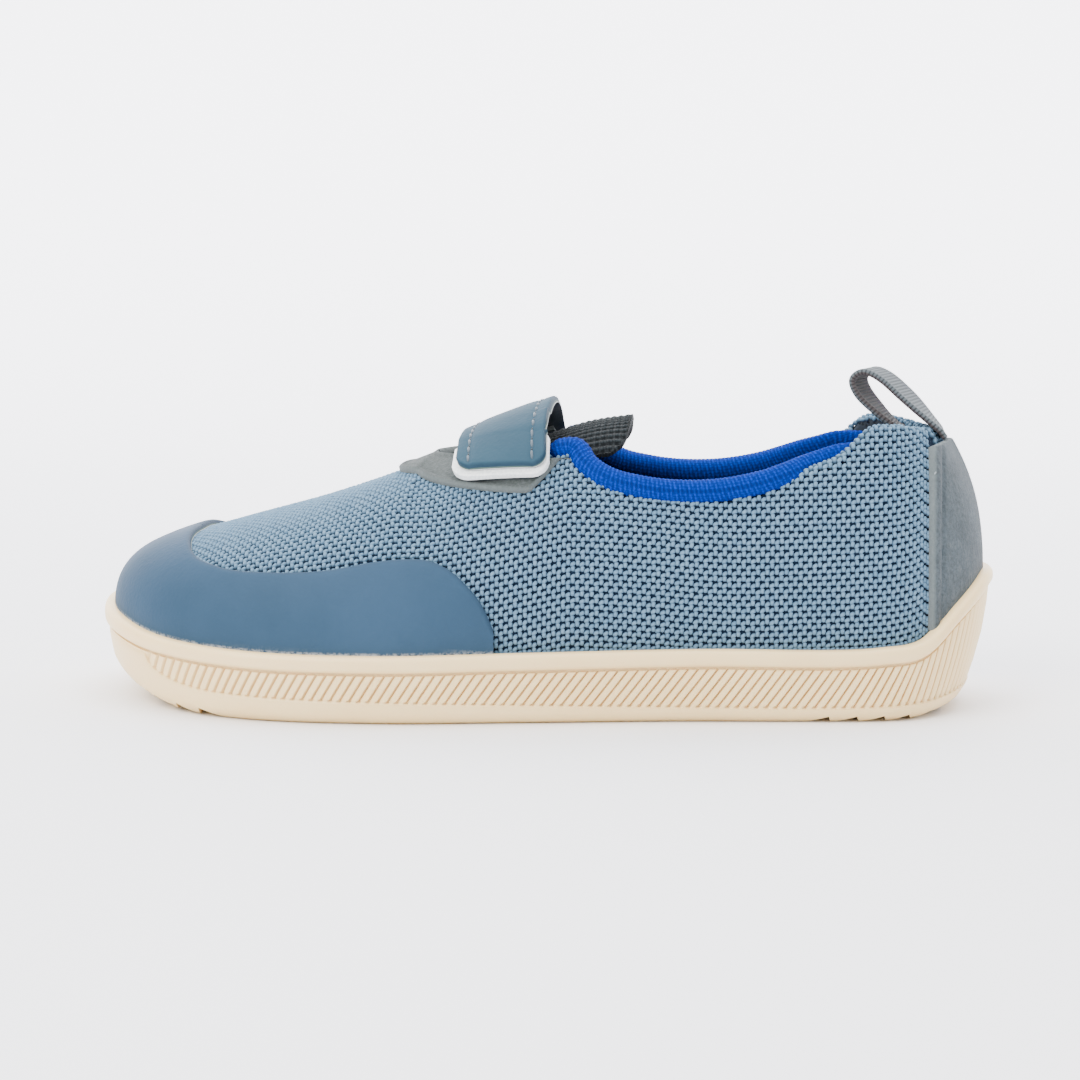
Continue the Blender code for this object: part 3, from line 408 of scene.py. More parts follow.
def floor_height(ring):
    """Height of the floor inside the sole."""
    return ground(ring) + SOLE_THICKNESS


def side_inset(ring, height):
    """How far the sole's side lies inside its outermost line at a height."""
    t = np.abs(ring)
    share = np.clip(1 - height / rim_height(ring), 0, 1)
    rounding = SOLE_WALL * through(SIDE, 7, t)
    corner = np.clip(1 - (height - ground(ring)) / rounding, 0, 1)
    return BEAD_PROUD + SOLE_WALL * through(SIDE, 6, t) * share**2 + rounding * corner**2.2


RIM_INSET = BEAD_PROUD + SOLE_WALL


def foot_inset(ring):
    """How far the upper's foot lies inside the outermost line of the sole."""
    share = np.clip(1 - floor_height(ring) / rim_height(ring), 0, 1)
    return RIM_INSET + SOLE_WALL * through(SIDE, 6, np.abs(ring)) * share**2


def ridge(along):
    """Height of the ridge of the last, its place across, and its slope along X."""
    step = 1e-3
    height = TOE_HEIGHT + (INSTEP_HEIGHT - TOE_HEIGHT) * through(RIDGE, 1, along, False)
    ahead = TOE_HEIGHT + (INSTEP_HEIGHT - TOE_HEIGHT) * through(RIDGE, 1, along + step, False)
    across = BALL_WIDTH * through(RIDGE, 2, along) - MIDDLE_Y
    return height, across, (height - ahead) / (step * SOLE_LENGTH)


def dome_drop(across):
    """How far the round instep falls at a distance from its ridge."""
    return INSTEP_RADIUS - np.sqrt(INSTEP_RADIUS**2 - across**2)


def throat_half(t):
    """Half width of the throat, closed by a round end at its front."""
    closing = np.clip((THROAT_FRONT - t) / THROAT_ROUNDING, 0, 1)
    return COLLAR_WIDTH * np.maximum(through(TOP, 2, t, False), 0) * np.sqrt(closing * (2 - closing))


def top_line(ring):
    """Point on the top edge of the last."""
    t = np.abs(ring)
    along = through(TOP, 1, t, False)
    half = throat_half(t)
    crest, across, _ = ridge(along)
    edge = crest - dome_drop(half)
    height = edge + (HEEL_TOP_HEIGHT - edge) * through(TOP, 3, t)
    return np.stack([SOLE_LENGTH * (0.5 - along), across + side_of(ring) * half, height], -1)


def surface(ring, level):
    """Point on the outer face of the last."""
    ring, level = np.broadcast_arrays(wrapped(ring), np.asarray(level, float))
    t = np.abs(ring)
    rim = raised(plan(ring, RIM_INSET), rim_height(ring) - CLEARANCE)
    foot = raised(plan(ring, foot_inset(ring)), floor_height(ring) + CLEARANCE)
    top = top_line(ring)
    gap = top - rim
    chord = np.linalg.norm(gap, axis=-1, keepdims=True)
    heading = gap * np.array([1, 1, 0])
    steepness = np.radians(through(TOP, 4, t)) + np.arcsin(throat_half(t) / INSTEP_RADIUS)
    slope = steepness[..., None]
    arrival = unit(heading) * np.cos(slope) + np.array([0, 0, 1]) * np.sin(slope)
    first = rim + np.array([0, 0, 1]) * chord * through(TOP, 5, t)[..., None]
    second = top - arrival * chord * through(TOP, 6, t)[..., None]
    s = np.clip(level, 0, 1)[..., None]
    above = rim * (1 - s) ** 3 + first * 3 * s * (1 - s) ** 2 + second * 3 * s**2 * (1 - s) + top * s**3
    below = np.clip(-level, 0, 1)[..., None]
    return above + (foot - rim) * below


def outward(ring, level):
    """Direction that points out of the upper, square to its face."""
    ring, level = np.broadcast_arrays(wrapped(ring), np.asarray(level, float))
    step = 2e-3
    around = surface(ring + step, level) - surface(ring - step, level)
    high = np.minimum(level + step, 1)
    normal = unit(np.cross(around, surface(ring, high) - surface(ring, high - 2 * step)))
    slope = ridge(through(TOP, 1, np.abs(ring), False))[2]
    on_ridge = unit(np.stack([-slope, np.zeros_like(slope), np.ones_like(slope)], -1))
    crest = (np.abs(ring) >= THROAT_FRONT) & (level > 1 - 1e-6)
    return np.where(crest[..., None], on_ridge, normal)


def fold_height(points):
    """Soft creases of the knit, as a height above the last."""
    along = place_along(points) * SOLE_LENGTH
    flat = np.stack([along, points[..., 2]], -1)
    height = np.zeros(points.shape[:-1])
    for side, along_a, z_a, along_b, z_b, half, depth in FOLDS:
        start = np.array([along_a * SOLE_LENGTH, z_a * MM])
        line = np.array([along_b * SOLE_LENGTH, z_b * MM]) - start
        share = np.clip((flat - start) @ line / (line @ line), -0.3, 1.3)
        across = (flat - start) @ np.array([-line[1], line[0]]) / np.linalg.norm(line) / (half * MM)
        end = ease(1 - np.abs(share - 0.5) / 0.8)
        bend = np.exp(-across**2) - 0.7 * np.exp(-((np.abs(across) - 1.7) ** 2) / 0.8)
        on_side = ease(points[..., 1] * side / (6 * MM))
        height -= depth * MM * bend * end * on_side
    return height


def skin(ring, level, depth):
    """Point this deep under the upper's outer face; a negative depth lies outside it."""
    points = surface(ring, level)
    depth = np.broadcast_to(depth, points.shape[:-1]) - fold_height(points)
    return points - outward(ring, level) * depth[..., None]


def edge_height(ring):
    """Height of the edge where collar and throat are cut from the last."""
    t = np.abs(ring)
    corner = top_line(np.array(THROAT_CORNER))[2]
    heel = (HEEL_TOP_HEIGHT - ANKLE_HEIGHT) * through(COLLAR, 1, t)
    collar = ANKLE_HEIGHT + heel + (corner - ANKLE_HEIGHT) * through(COLLAR, 2, t, False)
    return np.where(t < THROAT_CORNER, collar, top_line(ring)[..., 2])


def slant(ring):
    """How much longer the cut edge is than its plan, where it climbs."""
    step = 0.008
    run = top_line(ring + step)[..., :2] - top_line(ring - step)[..., :2]
    climb = edge_height(ring + step) - edge_height(ring - step)
    return np.sqrt(1 + climb**2 / np.sum(run**2, axis=-1))


def wall_below(ring):
    """Distances down the wall at MARKS from the top of the last, and the distance of the cut edge."""
    line = surface(ring[:, None], MARKS)
    steps = np.linalg.norm(np.diff(line, axis=1), axis=-1)
    travelled = np.concatenate([np.zeros((len(ring), 1)), np.cumsum(steps, 1)], 1)
    edge = edge_height(ring)
    cut = [np.interp(-z, -row, far) for z, row, far in zip(edge, line[..., 2], travelled)]
    return travelled, np.array(cut)


def level_below(ring, drop, from_top=False):
    """Level this far down the wall from the cut edge, or from the top of the last. ring is one row;
    drop is a row as long, or one row for each of its values."""
    ring = np.atleast_1d(np.asarray(ring, float))
    travelled, cut = wall_below(ring)
    drop = np.asarray(drop, float)
    drops = drop if drop.ndim == 2 else np.broadcast_to(drop, ring.shape)[:, None]
    start = 0 if from_top else cut[:, None]
    levels = np.array([np.interp(row, far, MARKS) for row, far in zip(start + drops, travelled)])
    return levels if drop.ndim == 2 else levels[:, 0]


def counter_top():
    """Level of the counter's top edge at the heel."""
    return float(level_below(np.array([0.0]), COUNTER_TOP_DROP)[0])


def place_along(points):
    """Place of points from 0 at the heel to 1 at the toe."""
    return 0.5 - points[..., 0] / SOLE_LENGTH


# Mesh helpers


def finish_mesh(name, points, faces, finish, crease=40, closed=True, weld=True, part=True, **marks):
    """A piece from points and faces, with its marks kept as attributes for its material."""
    mesh = bpy.data.meshes.new(name)
    mesh.from_pydata(np.asarray(points, float).reshape(-1, 3).tolist(), [], faces)
    for mark, values in marks.items():
        layer = mesh.attributes.new(mark, "FLOAT", "POINT")
        layer.data.foreach_set("value", np.asarray(values, np.float32).ravel())
    if closed or weld:
        work = bmesh.new()
        work.from_mesh(mesh)
        if weld:
            bmesh.ops.remove_doubles(work, verts=work.verts, dist=2e-6)
        bmesh.ops.recalc_face_normals(work, faces=work.faces)
        if closed and work.calc_volume(signed=True) < 0:
            bmesh.ops.reverse_faces(work, faces=work.faces)
        work.to_mesh(mesh)
        work.free()
    mesh.shade_smooth()
    mesh.set_sharp_from_angle(angle=math.radians(crease))
    mesh.materials.append(finish)
    piece = bpy.data.objects.new(name, mesh)
    bpy.context.scene.collection.objects.link(piece)
    if part:
        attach(piece, "root")
    return piece


def grid_faces(rows, columns, closed=False, start=0):
    """Faces of a grid of points. closed joins the last column to the first."""
    number = np.arange(rows * columns).reshape(rows, columns) + start
    after = np.roll(number, -1, 1) if closed else number[:, 1:]
    before = number if closed else number[:, :-1]
    return np.stack([before[:-1], after[:-1], after[1:], before[1:]], -1).reshape(-1, 4).tolist()


def sheet_solid(name, outer, inner, finish, crease=50, **marks):
    """Closed piece between two grids of points."""
    rows, columns = outer.shape[:2]
    count = rows * columns
    faces = grid_faces(rows, columns)
    faces += [[p + count for p in reversed(face)] for face in faces]
    number = np.arange(count).reshape(rows, columns)
    border = np.concatenate([number[0, :], number[1:, -1], number[-1, -2::-1], number[-2:0:-1, 0]])
    for a, b in zip(border, np.roll(border, -1)):
        faces.append([int(b), int(a), int(a + count), int(b + count)])
    points = np.concatenate([outer.reshape(-1, 3), inner.reshape(-1, 3)])
    doubled = {mark: np.tile(np.asarray(values).ravel(), 2) for mark, values in marks.items()}
    doubled["depth"] = np.repeat([0.0, 1.0], count)
    return finish_mesh(name, points, faces, finish, crease, **doubled)


def finer(grid, rows, columns):
    """The same sheet of points with more rows and columns, on smooth curves through them."""
    r, c = grid.shape[:2]
    high, wide = np.linspace(0, r - 1, rows), np.linspace(0, c - 1, columns)
    tall = np.stack([curve_through(np.arange(r), grid[:, k], high) for k in range(c)], 1)
    return np.stack([curve_through(np.arange(c), row, wide) for row in tall], 0)


def read_grid(grid, row, column):
    """Points of a fine grid at shares 0 to 1 of its rows and columns."""
    r, c = grid.shape[:2]
    y, x = np.clip(row, 0, 1) * (r - 1), np.clip(column, 0, 1) * (c - 1)
    i, j = np.minimum(y.astype(int), r - 2), np.minimum(x.astype(int), c - 2)
    v, u = (y - i)[..., None], (x - j)[..., None]
    low = grid[i, j] * (1 - u) + grid[i, j + 1] * u
    high = grid[i + 1, j] * (1 - u) + grid[i + 1, j + 1] * u
    return low * (1 - v) + high * v


def normals_of(grid):
    """Normals of a sheet of points."""
    return unit(np.cross(np.gradient(grid, axis=1), np.gradient(grid, axis=0)))


def distance_to(points, border):
    """Distance of each point to the nearest of the border's points."""
    flat = points.reshape(-1, 3)
    nearest = [np.linalg.norm(part[:, None] - border[None], axis=-1).min(1)
               for part in np.array_split(flat, 24)]
    return np.concatenate(nearest).reshape(points.shape[:-1])


def edge_shares(length, count, margin=0.9 * MM):
    """Shares from 0 to 1 along a length, closer together near both ends."""
    m = min(margin / length, 0.2)
    close = np.array([0, 0.06, 0.18, 0.4, 0.7, 1.0]) * m
    return np.concatenate([close, np.linspace(m, 1 - m, count)[1:-1], 1 - close[::-1]])


def cover(name, ring, level, thickness, rounding, finish, open_edge, seam=None, relief=None,
          lift=OVERLAY_LIFT):
    """Leather or suede laid on the upper, its edges rounded down where open_edge is true and frayed
    along seam."""
    base = skin(ring, level, 0)
    edge = distance_to(base, base[open_edge])
    round_off = np.sqrt(1 - (1 - np.clip(edge / rounding, 0, 1)) ** 2)
    height = lift + thickness * (0.25 + 0.75 * round_off)
    if relief is not None:
        height = height + relief(edge, base)
    outer = skin(ring, level, -height)
    inner = skin(ring, level, -0.3 * lift)
    frayed = np.zeros_like(edge)
    if seam is not None:
        frayed = np.clip(1.25 - distance_to(base, base[seam]) / (0.55 * MM), 0, 1)
    rim = np.clip(1 - edge / (1.2 * MM), 0, 1)
    return sheet_solid(name, outer, inner, finish, 60, rim=rim, frayed=frayed)


# Materials


def colour(code):
    """Linear colour from an sRGB hex code."""
    values = [int(code[k:k + 2], 16) / 255 for k in (1, 3, 5)]
    return tuple(v / 12.92 if v < 0.04045 else ((v + 0.055) / 1.055) ** 2.4 for v in values) + (1.0,)


class Finish:
    """A material with its Principled shader and a short way to add nodes to it."""

    def __init__(self, name, roughness, **settings):
        self.material = bpy.data.materials.new(name)
        self.material.use_nodes = True
        self.tree = self.material.node_tree
        self.shader = self.tree.nodes["Principled BSDF"]
        self.shader.inputs["Roughness"].default_value = roughness
        for socket, value in settings.items():
            self.shader.inputs[socket.replace("_", " ")].default_value = value

    def node(self, kind, settings=None, **links):
        """Adds a node. settings are its own values or those of its inputs; links are sockets by input."""
        made = self.tree.nodes.new(kind)
        for key, value in (settings or {}).items():
            if key in made.inputs:
                made.inputs[key].default_value = value
            else:
                setattr(made, key, value)
        for key, source in links.items():
            self.tree.links.new(source, made.inputs[key])
        return made

    def fill(self, made, values):
        """Gives numbered inputs a plain value or a link from a socket."""
        for number, value in values:
            if isinstance(value, (float, int, tuple)):
                made.inputs[number].default_value = value
            else:
                self.tree.links.new(value, made.inputs[number])

    def place(self):
        return self.node("ShaderNodeTexCoord").outputs["Object"]

    def noise(self, scale_mm, detail=2.0, roughness=0.5):
        return self.node("ShaderNodeTexNoise", {"Scale": 1 / (scale_mm * MM), "Detail": detail,
                                                "Roughness": roughness}, Vector=self.place()).outputs["Fac"]

    def mark(self, name):
        return self.node("ShaderNodeAttribute", {"attribute_name": name}).outputs["Fac"]

    def ramp(self, value, low, high):
        """0 below low and 1 above high."""
        return self.node("ShaderNodeMapRange", {"From Min": low, "From Max": high}, Value=value).outputs[0]

    def mix(self, share, first, second):
        """Colour between two colours or sockets."""
        made = self.node("ShaderNodeMix", {"data_type": "RGBA"})
        self.fill(made, ((0, share), (6, first), (7, second)))
        return made.outputs[2]

    def maths(self, operation, first, second):
        made = self.node("ShaderNodeMath", {"operation": operation})
        self.fill(made, ((0, first), (1, second)))
        return made.outputs[0]

    def paint(self, source):
        self.tree.links.new(source, self.shader.inputs["Base Color"])

    def rough(self, source):
        self.tree.links.new(source, self.shader.inputs["Roughness"])

    def bump(self, height, depth_mm, strength=1.0, below=None):
        links = {"Height": height}
        if below is not None:
            links["Normal"] = below
        made = self.node("ShaderNodeBump", {"Distance": depth_mm * MM, "Strength": strength}, **links)
        self.tree.links.new(made.outputs[0], self.shader.inputs["Normal"])
        return made.outputs[0]


def sole_rubber():
    """Moulded cream rubber: satin, faintly grained, with painted shade that browns its grooves and crevices.
    """
    f = Finish("sole_rubber", 0.52, Specular_IOR_Level=0.4, Subsurface_Weight=0.06, Subsurface_Scale=0.004)
    grain = f.noise(0.45, 3, 0.6)
    patch = f.noise(14, 2)
    body = f.mix(patch, colour("#f2d6a0"), colour("#ebcb92"))
    speck = f.ramp(f.noise(0.9, 1), 0.70, 0.78)
    body = f.mix(f.maths("MULTIPLY", speck, 0.2), body, colour("#c9a873"))
    # Painted shade: the colour browns where the groove mark is high, in the rib grooves, under the bead and
    # along the band's edges.
    body = f.mix(f.maths("MULTIPLY", f.mark("crevice"), 0.45), body, colour("#b8935a"))
    f.paint(body)
    f.rough(f.ramp(grain, -0.9, 2.6))
    f.bump(grain, 0.05, 0.5)
    return f.material


def yarn():
    """Soft steel-blue yarn with fine fibres: painted shade darkens each tuft toward its base, and its crown
    is lighter.
    """
    f = Finish("yarn", 0.85, Specular_IOR_Level=0.15, Sheen_Weight=0.12, Sheen_Roughness=0.5)
    # Painted shade: rise runs from a tuft's base to its top, and the colour darkens to #26394a toward the
    # base.
    crown = f.ramp(f.mark("rise"), 0.0, 1.0)
    light = f.mix(f.mark("tone"), colour("#5a7b95"), colour("#6c8aa1"))
    body = f.mix(crown, colour("#26394a"), light)
    fibre = f.noise(0.22, 3, 0.7)
    body = f.mix(f.maths("MULTIPLY", fibre, 0.25), body, colour("#4a6880"))
    f.paint(body)
    f.bump(fibre, 0.05, 0.6)
    return f.material


def ground_cloth():
    """Dark navy backing cloth, seen only through the holes of the knit."""
    f = Finish("ground_cloth", 0.95, Specular_IOR_Level=0.1)
    weave = f.noise(0.4, 2)
    f.paint(f.mix(weave, colour("#0a1624"), colour("#16283c")))
    f.bump(weave, 0.1, 0.6)
    return f.material


def lining_cloth():
    """Grey spacer mesh inside the shoe: small dark cells in soft rows."""
    f = Finish("lining_cloth", 0.95, Specular_IOR_Level=0.15, Sheen_Weight=0.2)
    cells = f.node("ShaderNodeTexVoronoi", {"Scale": 1 / (1.3 * MM)}, Vector=f.place()).outputs["Distance"]
    hole = f.ramp(cells, 0.18, 0.42)
    f.paint(f.mix(hole, colour("#14191e"), colour("#343c44")))
    f.bump(hole, 0.3, 0.7)
    return f.material


def leather(name, light, dark, roughness):
    """Smooth coated leather: pebbled very finely, faintly cloudy, with a darker edge, a frayed pale seam
    at the rim and, where it is cut, its green backing over a raw white edge."""
    f = Finish(name, roughness, Specular_IOR_Level=0.09)
    cloud = f.noise(22, 3)
    pores = f.node("ShaderNodeTexVoronoi", {"Scale": 1 / (0.75 * MM), "feature": "SMOOTH_F1"},
                   Vector=f.place()).outputs["Distance"]
    wrinkle = f.noise(2.2, 4, 0.6)
    body = f.mix(f.ramp(cloud, 0.3, 0.7), colour(dark), colour(light))
    rim = f.mark("rim")
    body = f.mix(f.maths("MULTIPLY", f.ramp(rim, 0.25, 0.9), 0.45), body, colour("#22313f"))
    fray = f.maths("MULTIPLY", f.mark("frayed"), f.ramp(f.noise(0.6, 3, 0.7), 0.40, 0.58))
    body = f.mix(f.maths("MULTIPLY", fray, 0.8), body, colour("#a7aeb4"))
    depth = f.mark("depth")
    body = f.mix(f.ramp(depth, 0.30, 0.36), body, colour("#4a5c58"))
    body = f.mix(f.ramp(depth, 0.78, 0.84), body, colour("#c9ccca"))
    body = f.mix(f.ramp(depth, 0.985, 0.99), body, colour("#3a4245"))
    f.paint(body)
    relief = f.maths("ADD", f.maths("MULTIPLY", pores, 0.5), f.maths("MULTIPLY", wrinkle, 0.8))
    f.bump(relief, 0.16, 0.6)
    return f.material


def suede(name, light, dark):
    """Brushed suede: short nap in soft directional patches, no shine, paler fuzz at its cut edges."""
    f = Finish(name, 0.96, Specular_IOR_Level=0.08, Sheen_Weight=0.12, Sheen_Roughness=0.6)
    patch = f.noise(7, 4, 0.65)
    nap = f.noise(0.7, 4, 0.8)
    brushed = f.node("ShaderNodeMapping", {"Scale": (1.0, 1.0, 0.35)}, Vector=f.place()).outputs[0]
    streak = f.node("ShaderNodeTexNoise", {"Scale": 1 / (0.8 * MM), "Detail": 4.0, "Roughness": 0.7},
                    Vector=brushed).outputs["Fac"]
    body = f.mix(f.ramp(patch, 0.32, 0.70), colour(dark), colour(light))
    body = f.mix(f.maths("MULTIPLY", f.ramp(nap, 0.40, 0.64), 0.6), body, colour("#282e32"))
    body = f.mix(f.maths("MULTIPLY", f.ramp(streak, 0.5, 0.75), 0.2), body, colour("#7c8486"))
    body = f.mix(f.maths("MULTIPLY", f.ramp(f.mark("rim"), 0.35, 0.9), 0.5), body, colour("#727a7a"))
    f.paint(body)
    f.bump(f.maths("ADD", nap, streak), 0.22, 0.9)
    return f.material


def rib_knit(name, light, dark, deep, sheen):
    """Fine ribbed knit: fuzzy yarn in small loops, with painted shade between its ribs and loops."""
    f = Finish(name, 0.9, Specular_IOR_Level=0.1, Sheen_Weight=sheen, Sheen_Roughness=0.5)
    fuzz = f.noise(0.28, 3, 0.7)
    place = f.node("ShaderNodeCombineXYZ", None, X=f.mark("run"), Y=f.mark("turn")).outputs[0]
    loops = f.node("ShaderNodeTexVoronoi", {"Scale": 1 / (0.62 * MM), "Randomness": 0.35},
                   Vector=place).outputs["Distance"]
    # Painted shade: where rise is low or between the loops the colour goes to the deep colour.
    crown = f.maths("SUBTRACT", f.mark("rise"), f.maths("MULTIPLY", f.ramp(loops, 0.3, 0.62), 0.7))
    body = f.mix(f.ramp(crown, 0.0, 0.9), colour(deep), colour(light))
    body = f.mix(f.maths("MULTIPLY", f.ramp(fuzz, 0.35, 0.75), 0.45), body, colour(dark))
    f.paint(body)
    f.bump(f.maths("SUBTRACT", fuzz, f.maths("MULTIPLY", loops, 1.6)), 0.12, 0.8)
    return f.material


def webbing():
    """Grey polyester webbing: tight cross ribs with painted shade between them, a warmer reverse darkened by
    painted shade, and dark flecks along its selvedge.
    """
    f = Finish("webbing", 0.85, Specular_IOR_Level=0.15, Sheen_Weight=0.08)
    thread = f.noise(0.35, 3, 0.6)
    # Painted shade between the cross ribs: where rise is low the colour goes to dark grey #33383b.
    crown = f.ramp(f.mark("rise"), 0.0, 1.0)
    # The reverse is warmer and also darker; its darkness is painted shade for the loop's shaded inner face.
    face = f.mix(f.mark("depth"), colour("#5d6569"), colour("#4d4443"))
    body = f.mix(crown, colour("#33383b"), face)
    body = f.mix(f.maths("MULTIPLY", thread, 0.25), body, colour("#454b4e"))
    body = f.mix(f.maths("MULTIPLY", f.mark("fleck"), 0.85), body, colour("#121416"))
    f.paint(body)
    f.bump(thread, 0.08, 0.6)
    return f.material


def hook_tape():
    """White touch fastener: a dense pile of tiny loops."""
    f = Finish("hook_tape", 0.55, Specular_IOR_Level=0.35, Sheen_Weight=0.2)
    pile = f.node("ShaderNodeTexVoronoi", {"Scale": 1 / (0.55 * MM)}, Vector=f.place()).outputs["Distance"]
    f.paint(f.mix(f.ramp(pile, 0.1, 0.7), colour("#f6f7f5"), colour("#dfe3e4")))
    f.bump(pile, 0.12, 0.6)
    return f.material


def thread(name, code):
    """Twisted sewing thread; where tone is 0 it is a needle hole, painted near black as painted shade."""
    f = Finish(name, 0.6, Specular_IOR_Level=0.3, Sheen_Weight=0.3)
    twist = f.noise(0.3, 2)
    body = f.mix(f.maths("MULTIPLY", twist, 0.5), colour(code), colour("#2c353d"))
    # Painted shade: pieces of tone 0 are needle holes and take near-black #07090b.
    f.paint(f.mix(f.ramp(f.mark("tone"), 0.05, 0.2), colour("#07090b"), body))
    f.bump(twist, 0.05, 0.6)
    return f.material


def footbed():
    """Dark textile footbed with a fine twill."""
    f = Finish("footbed", 0.92, Specular_IOR_Level=0.15, Sheen_Weight=0.2)
    twill = f.node("ShaderNodeTexWave", {"Scale": TWILL_BANDS, "Distortion": 0.6,
                                         "bands_direction": "DIAGONAL"}, Vector=f.place()).outputs["Fac"]
    f.paint(f.mix(twill, colour("#11161b"), colour("#20272e")))
    f.bump(twill, 0.1, 0.6)
    return f.material


# Pieces


def lug_rise(along):
    """Height of the lugs' cuts at a distance from the heel, with steep faces toward the middle."""
    marks = [(0.0, 0.0)]
    tip_start = LUG_PITCH - LUG_STEEP - LUG_TIP
    for k in range(HEEL_LUGS):
        start = HEEL_LUG_START + k * LUG_PITCH
        marks += [(start, LUG_DEPTH), (start + tip_start, 0.0), (start + tip_start + LUG_TIP, 0.0)]
    last = HEEL_LUG_START + HEEL_LUGS * LUG_PITCH
    toe = SOLE_LENGTH - TOE_LUG_START - TOE_LUGS * LUG_PITCH
    marks += [(last, LUG_DEPTH), (last + tip_start, 0.0), (toe - LUG_PITCH, 0.0)]
    for k in range(TOE_LUGS + 1):
        start = toe + k * LUG_PITCH
        marks += [(start, TOE_LUG_DEPTH), (start + LUG_STEEP, 0.0), (start + LUG_STEEP + LUG_TIP, 0.0)]
    marks += [(SOLE_LENGTH, 0.0)]
    places, heights = np.array(marks).T
    return np.interp(along, places, heights), places


def bead_height(ring):
    """Height of the round bead along the sole's rim."""
    return BEAD_HEIGHT * through(SIDE, 5, np.abs(ring))


def rib_top(ring):
    """Height at which the sole's ribs end under the groove."""
    return rim_height(ring) - bead_height(ring) - GROOVE_HEIGHT


RIB_END = math.acos(1 - 2 * (1 - RIB_FREE_TOE / SOLE_LENGTH)) / math.pi


def rib_bottom(ring):
    """Height at which the sole's ribs start, rising to close the band near the toe."""
    low = SIDE_HEIGHT * through(SIDE, 3, np.abs(ring))
    climb = np.clip((np.abs(ring) - RIB_END + 0.09) / 0.09, 0, 1)
    least = rib_top(ring) - BAND_STEP
    return np.minimum(low + (least - low) * (1 - np.sqrt(1 - climb**2)), least)


def squared_up(ring, height, lug_top):
    """Rings that set points of the rounded lower edge straight under those at the lugs' top, so that the
    lugs' faces stay upright. Past the last lug at either end they spread evenly to the tip."""
    side, t = side_of(ring), np.abs(ring)

    def ring_at(x, level):
        return solve(lambda s: -plan(side * s, side_inset(side * s, level))[..., 0], -x,
                     np.zeros_like(ring), 1.0)

    x = plan(ring, side_inset(ring, lug_top))[..., 0]
    hold = SOLE_LENGTH / 2 - LUG_FREE_END
    held = np.clip(x, -hold, hold)
    edge, moved = ring_at(held, lug_top), ring_at(held, height)
    moved = np.where(x < -hold, moved + (t - edge) * (1 - moved) / (1 - edge), moved)
    moved = np.where(x > hold, t * moved / edge, moved)
    return np.where(height < lug_top, side * moved, ring)


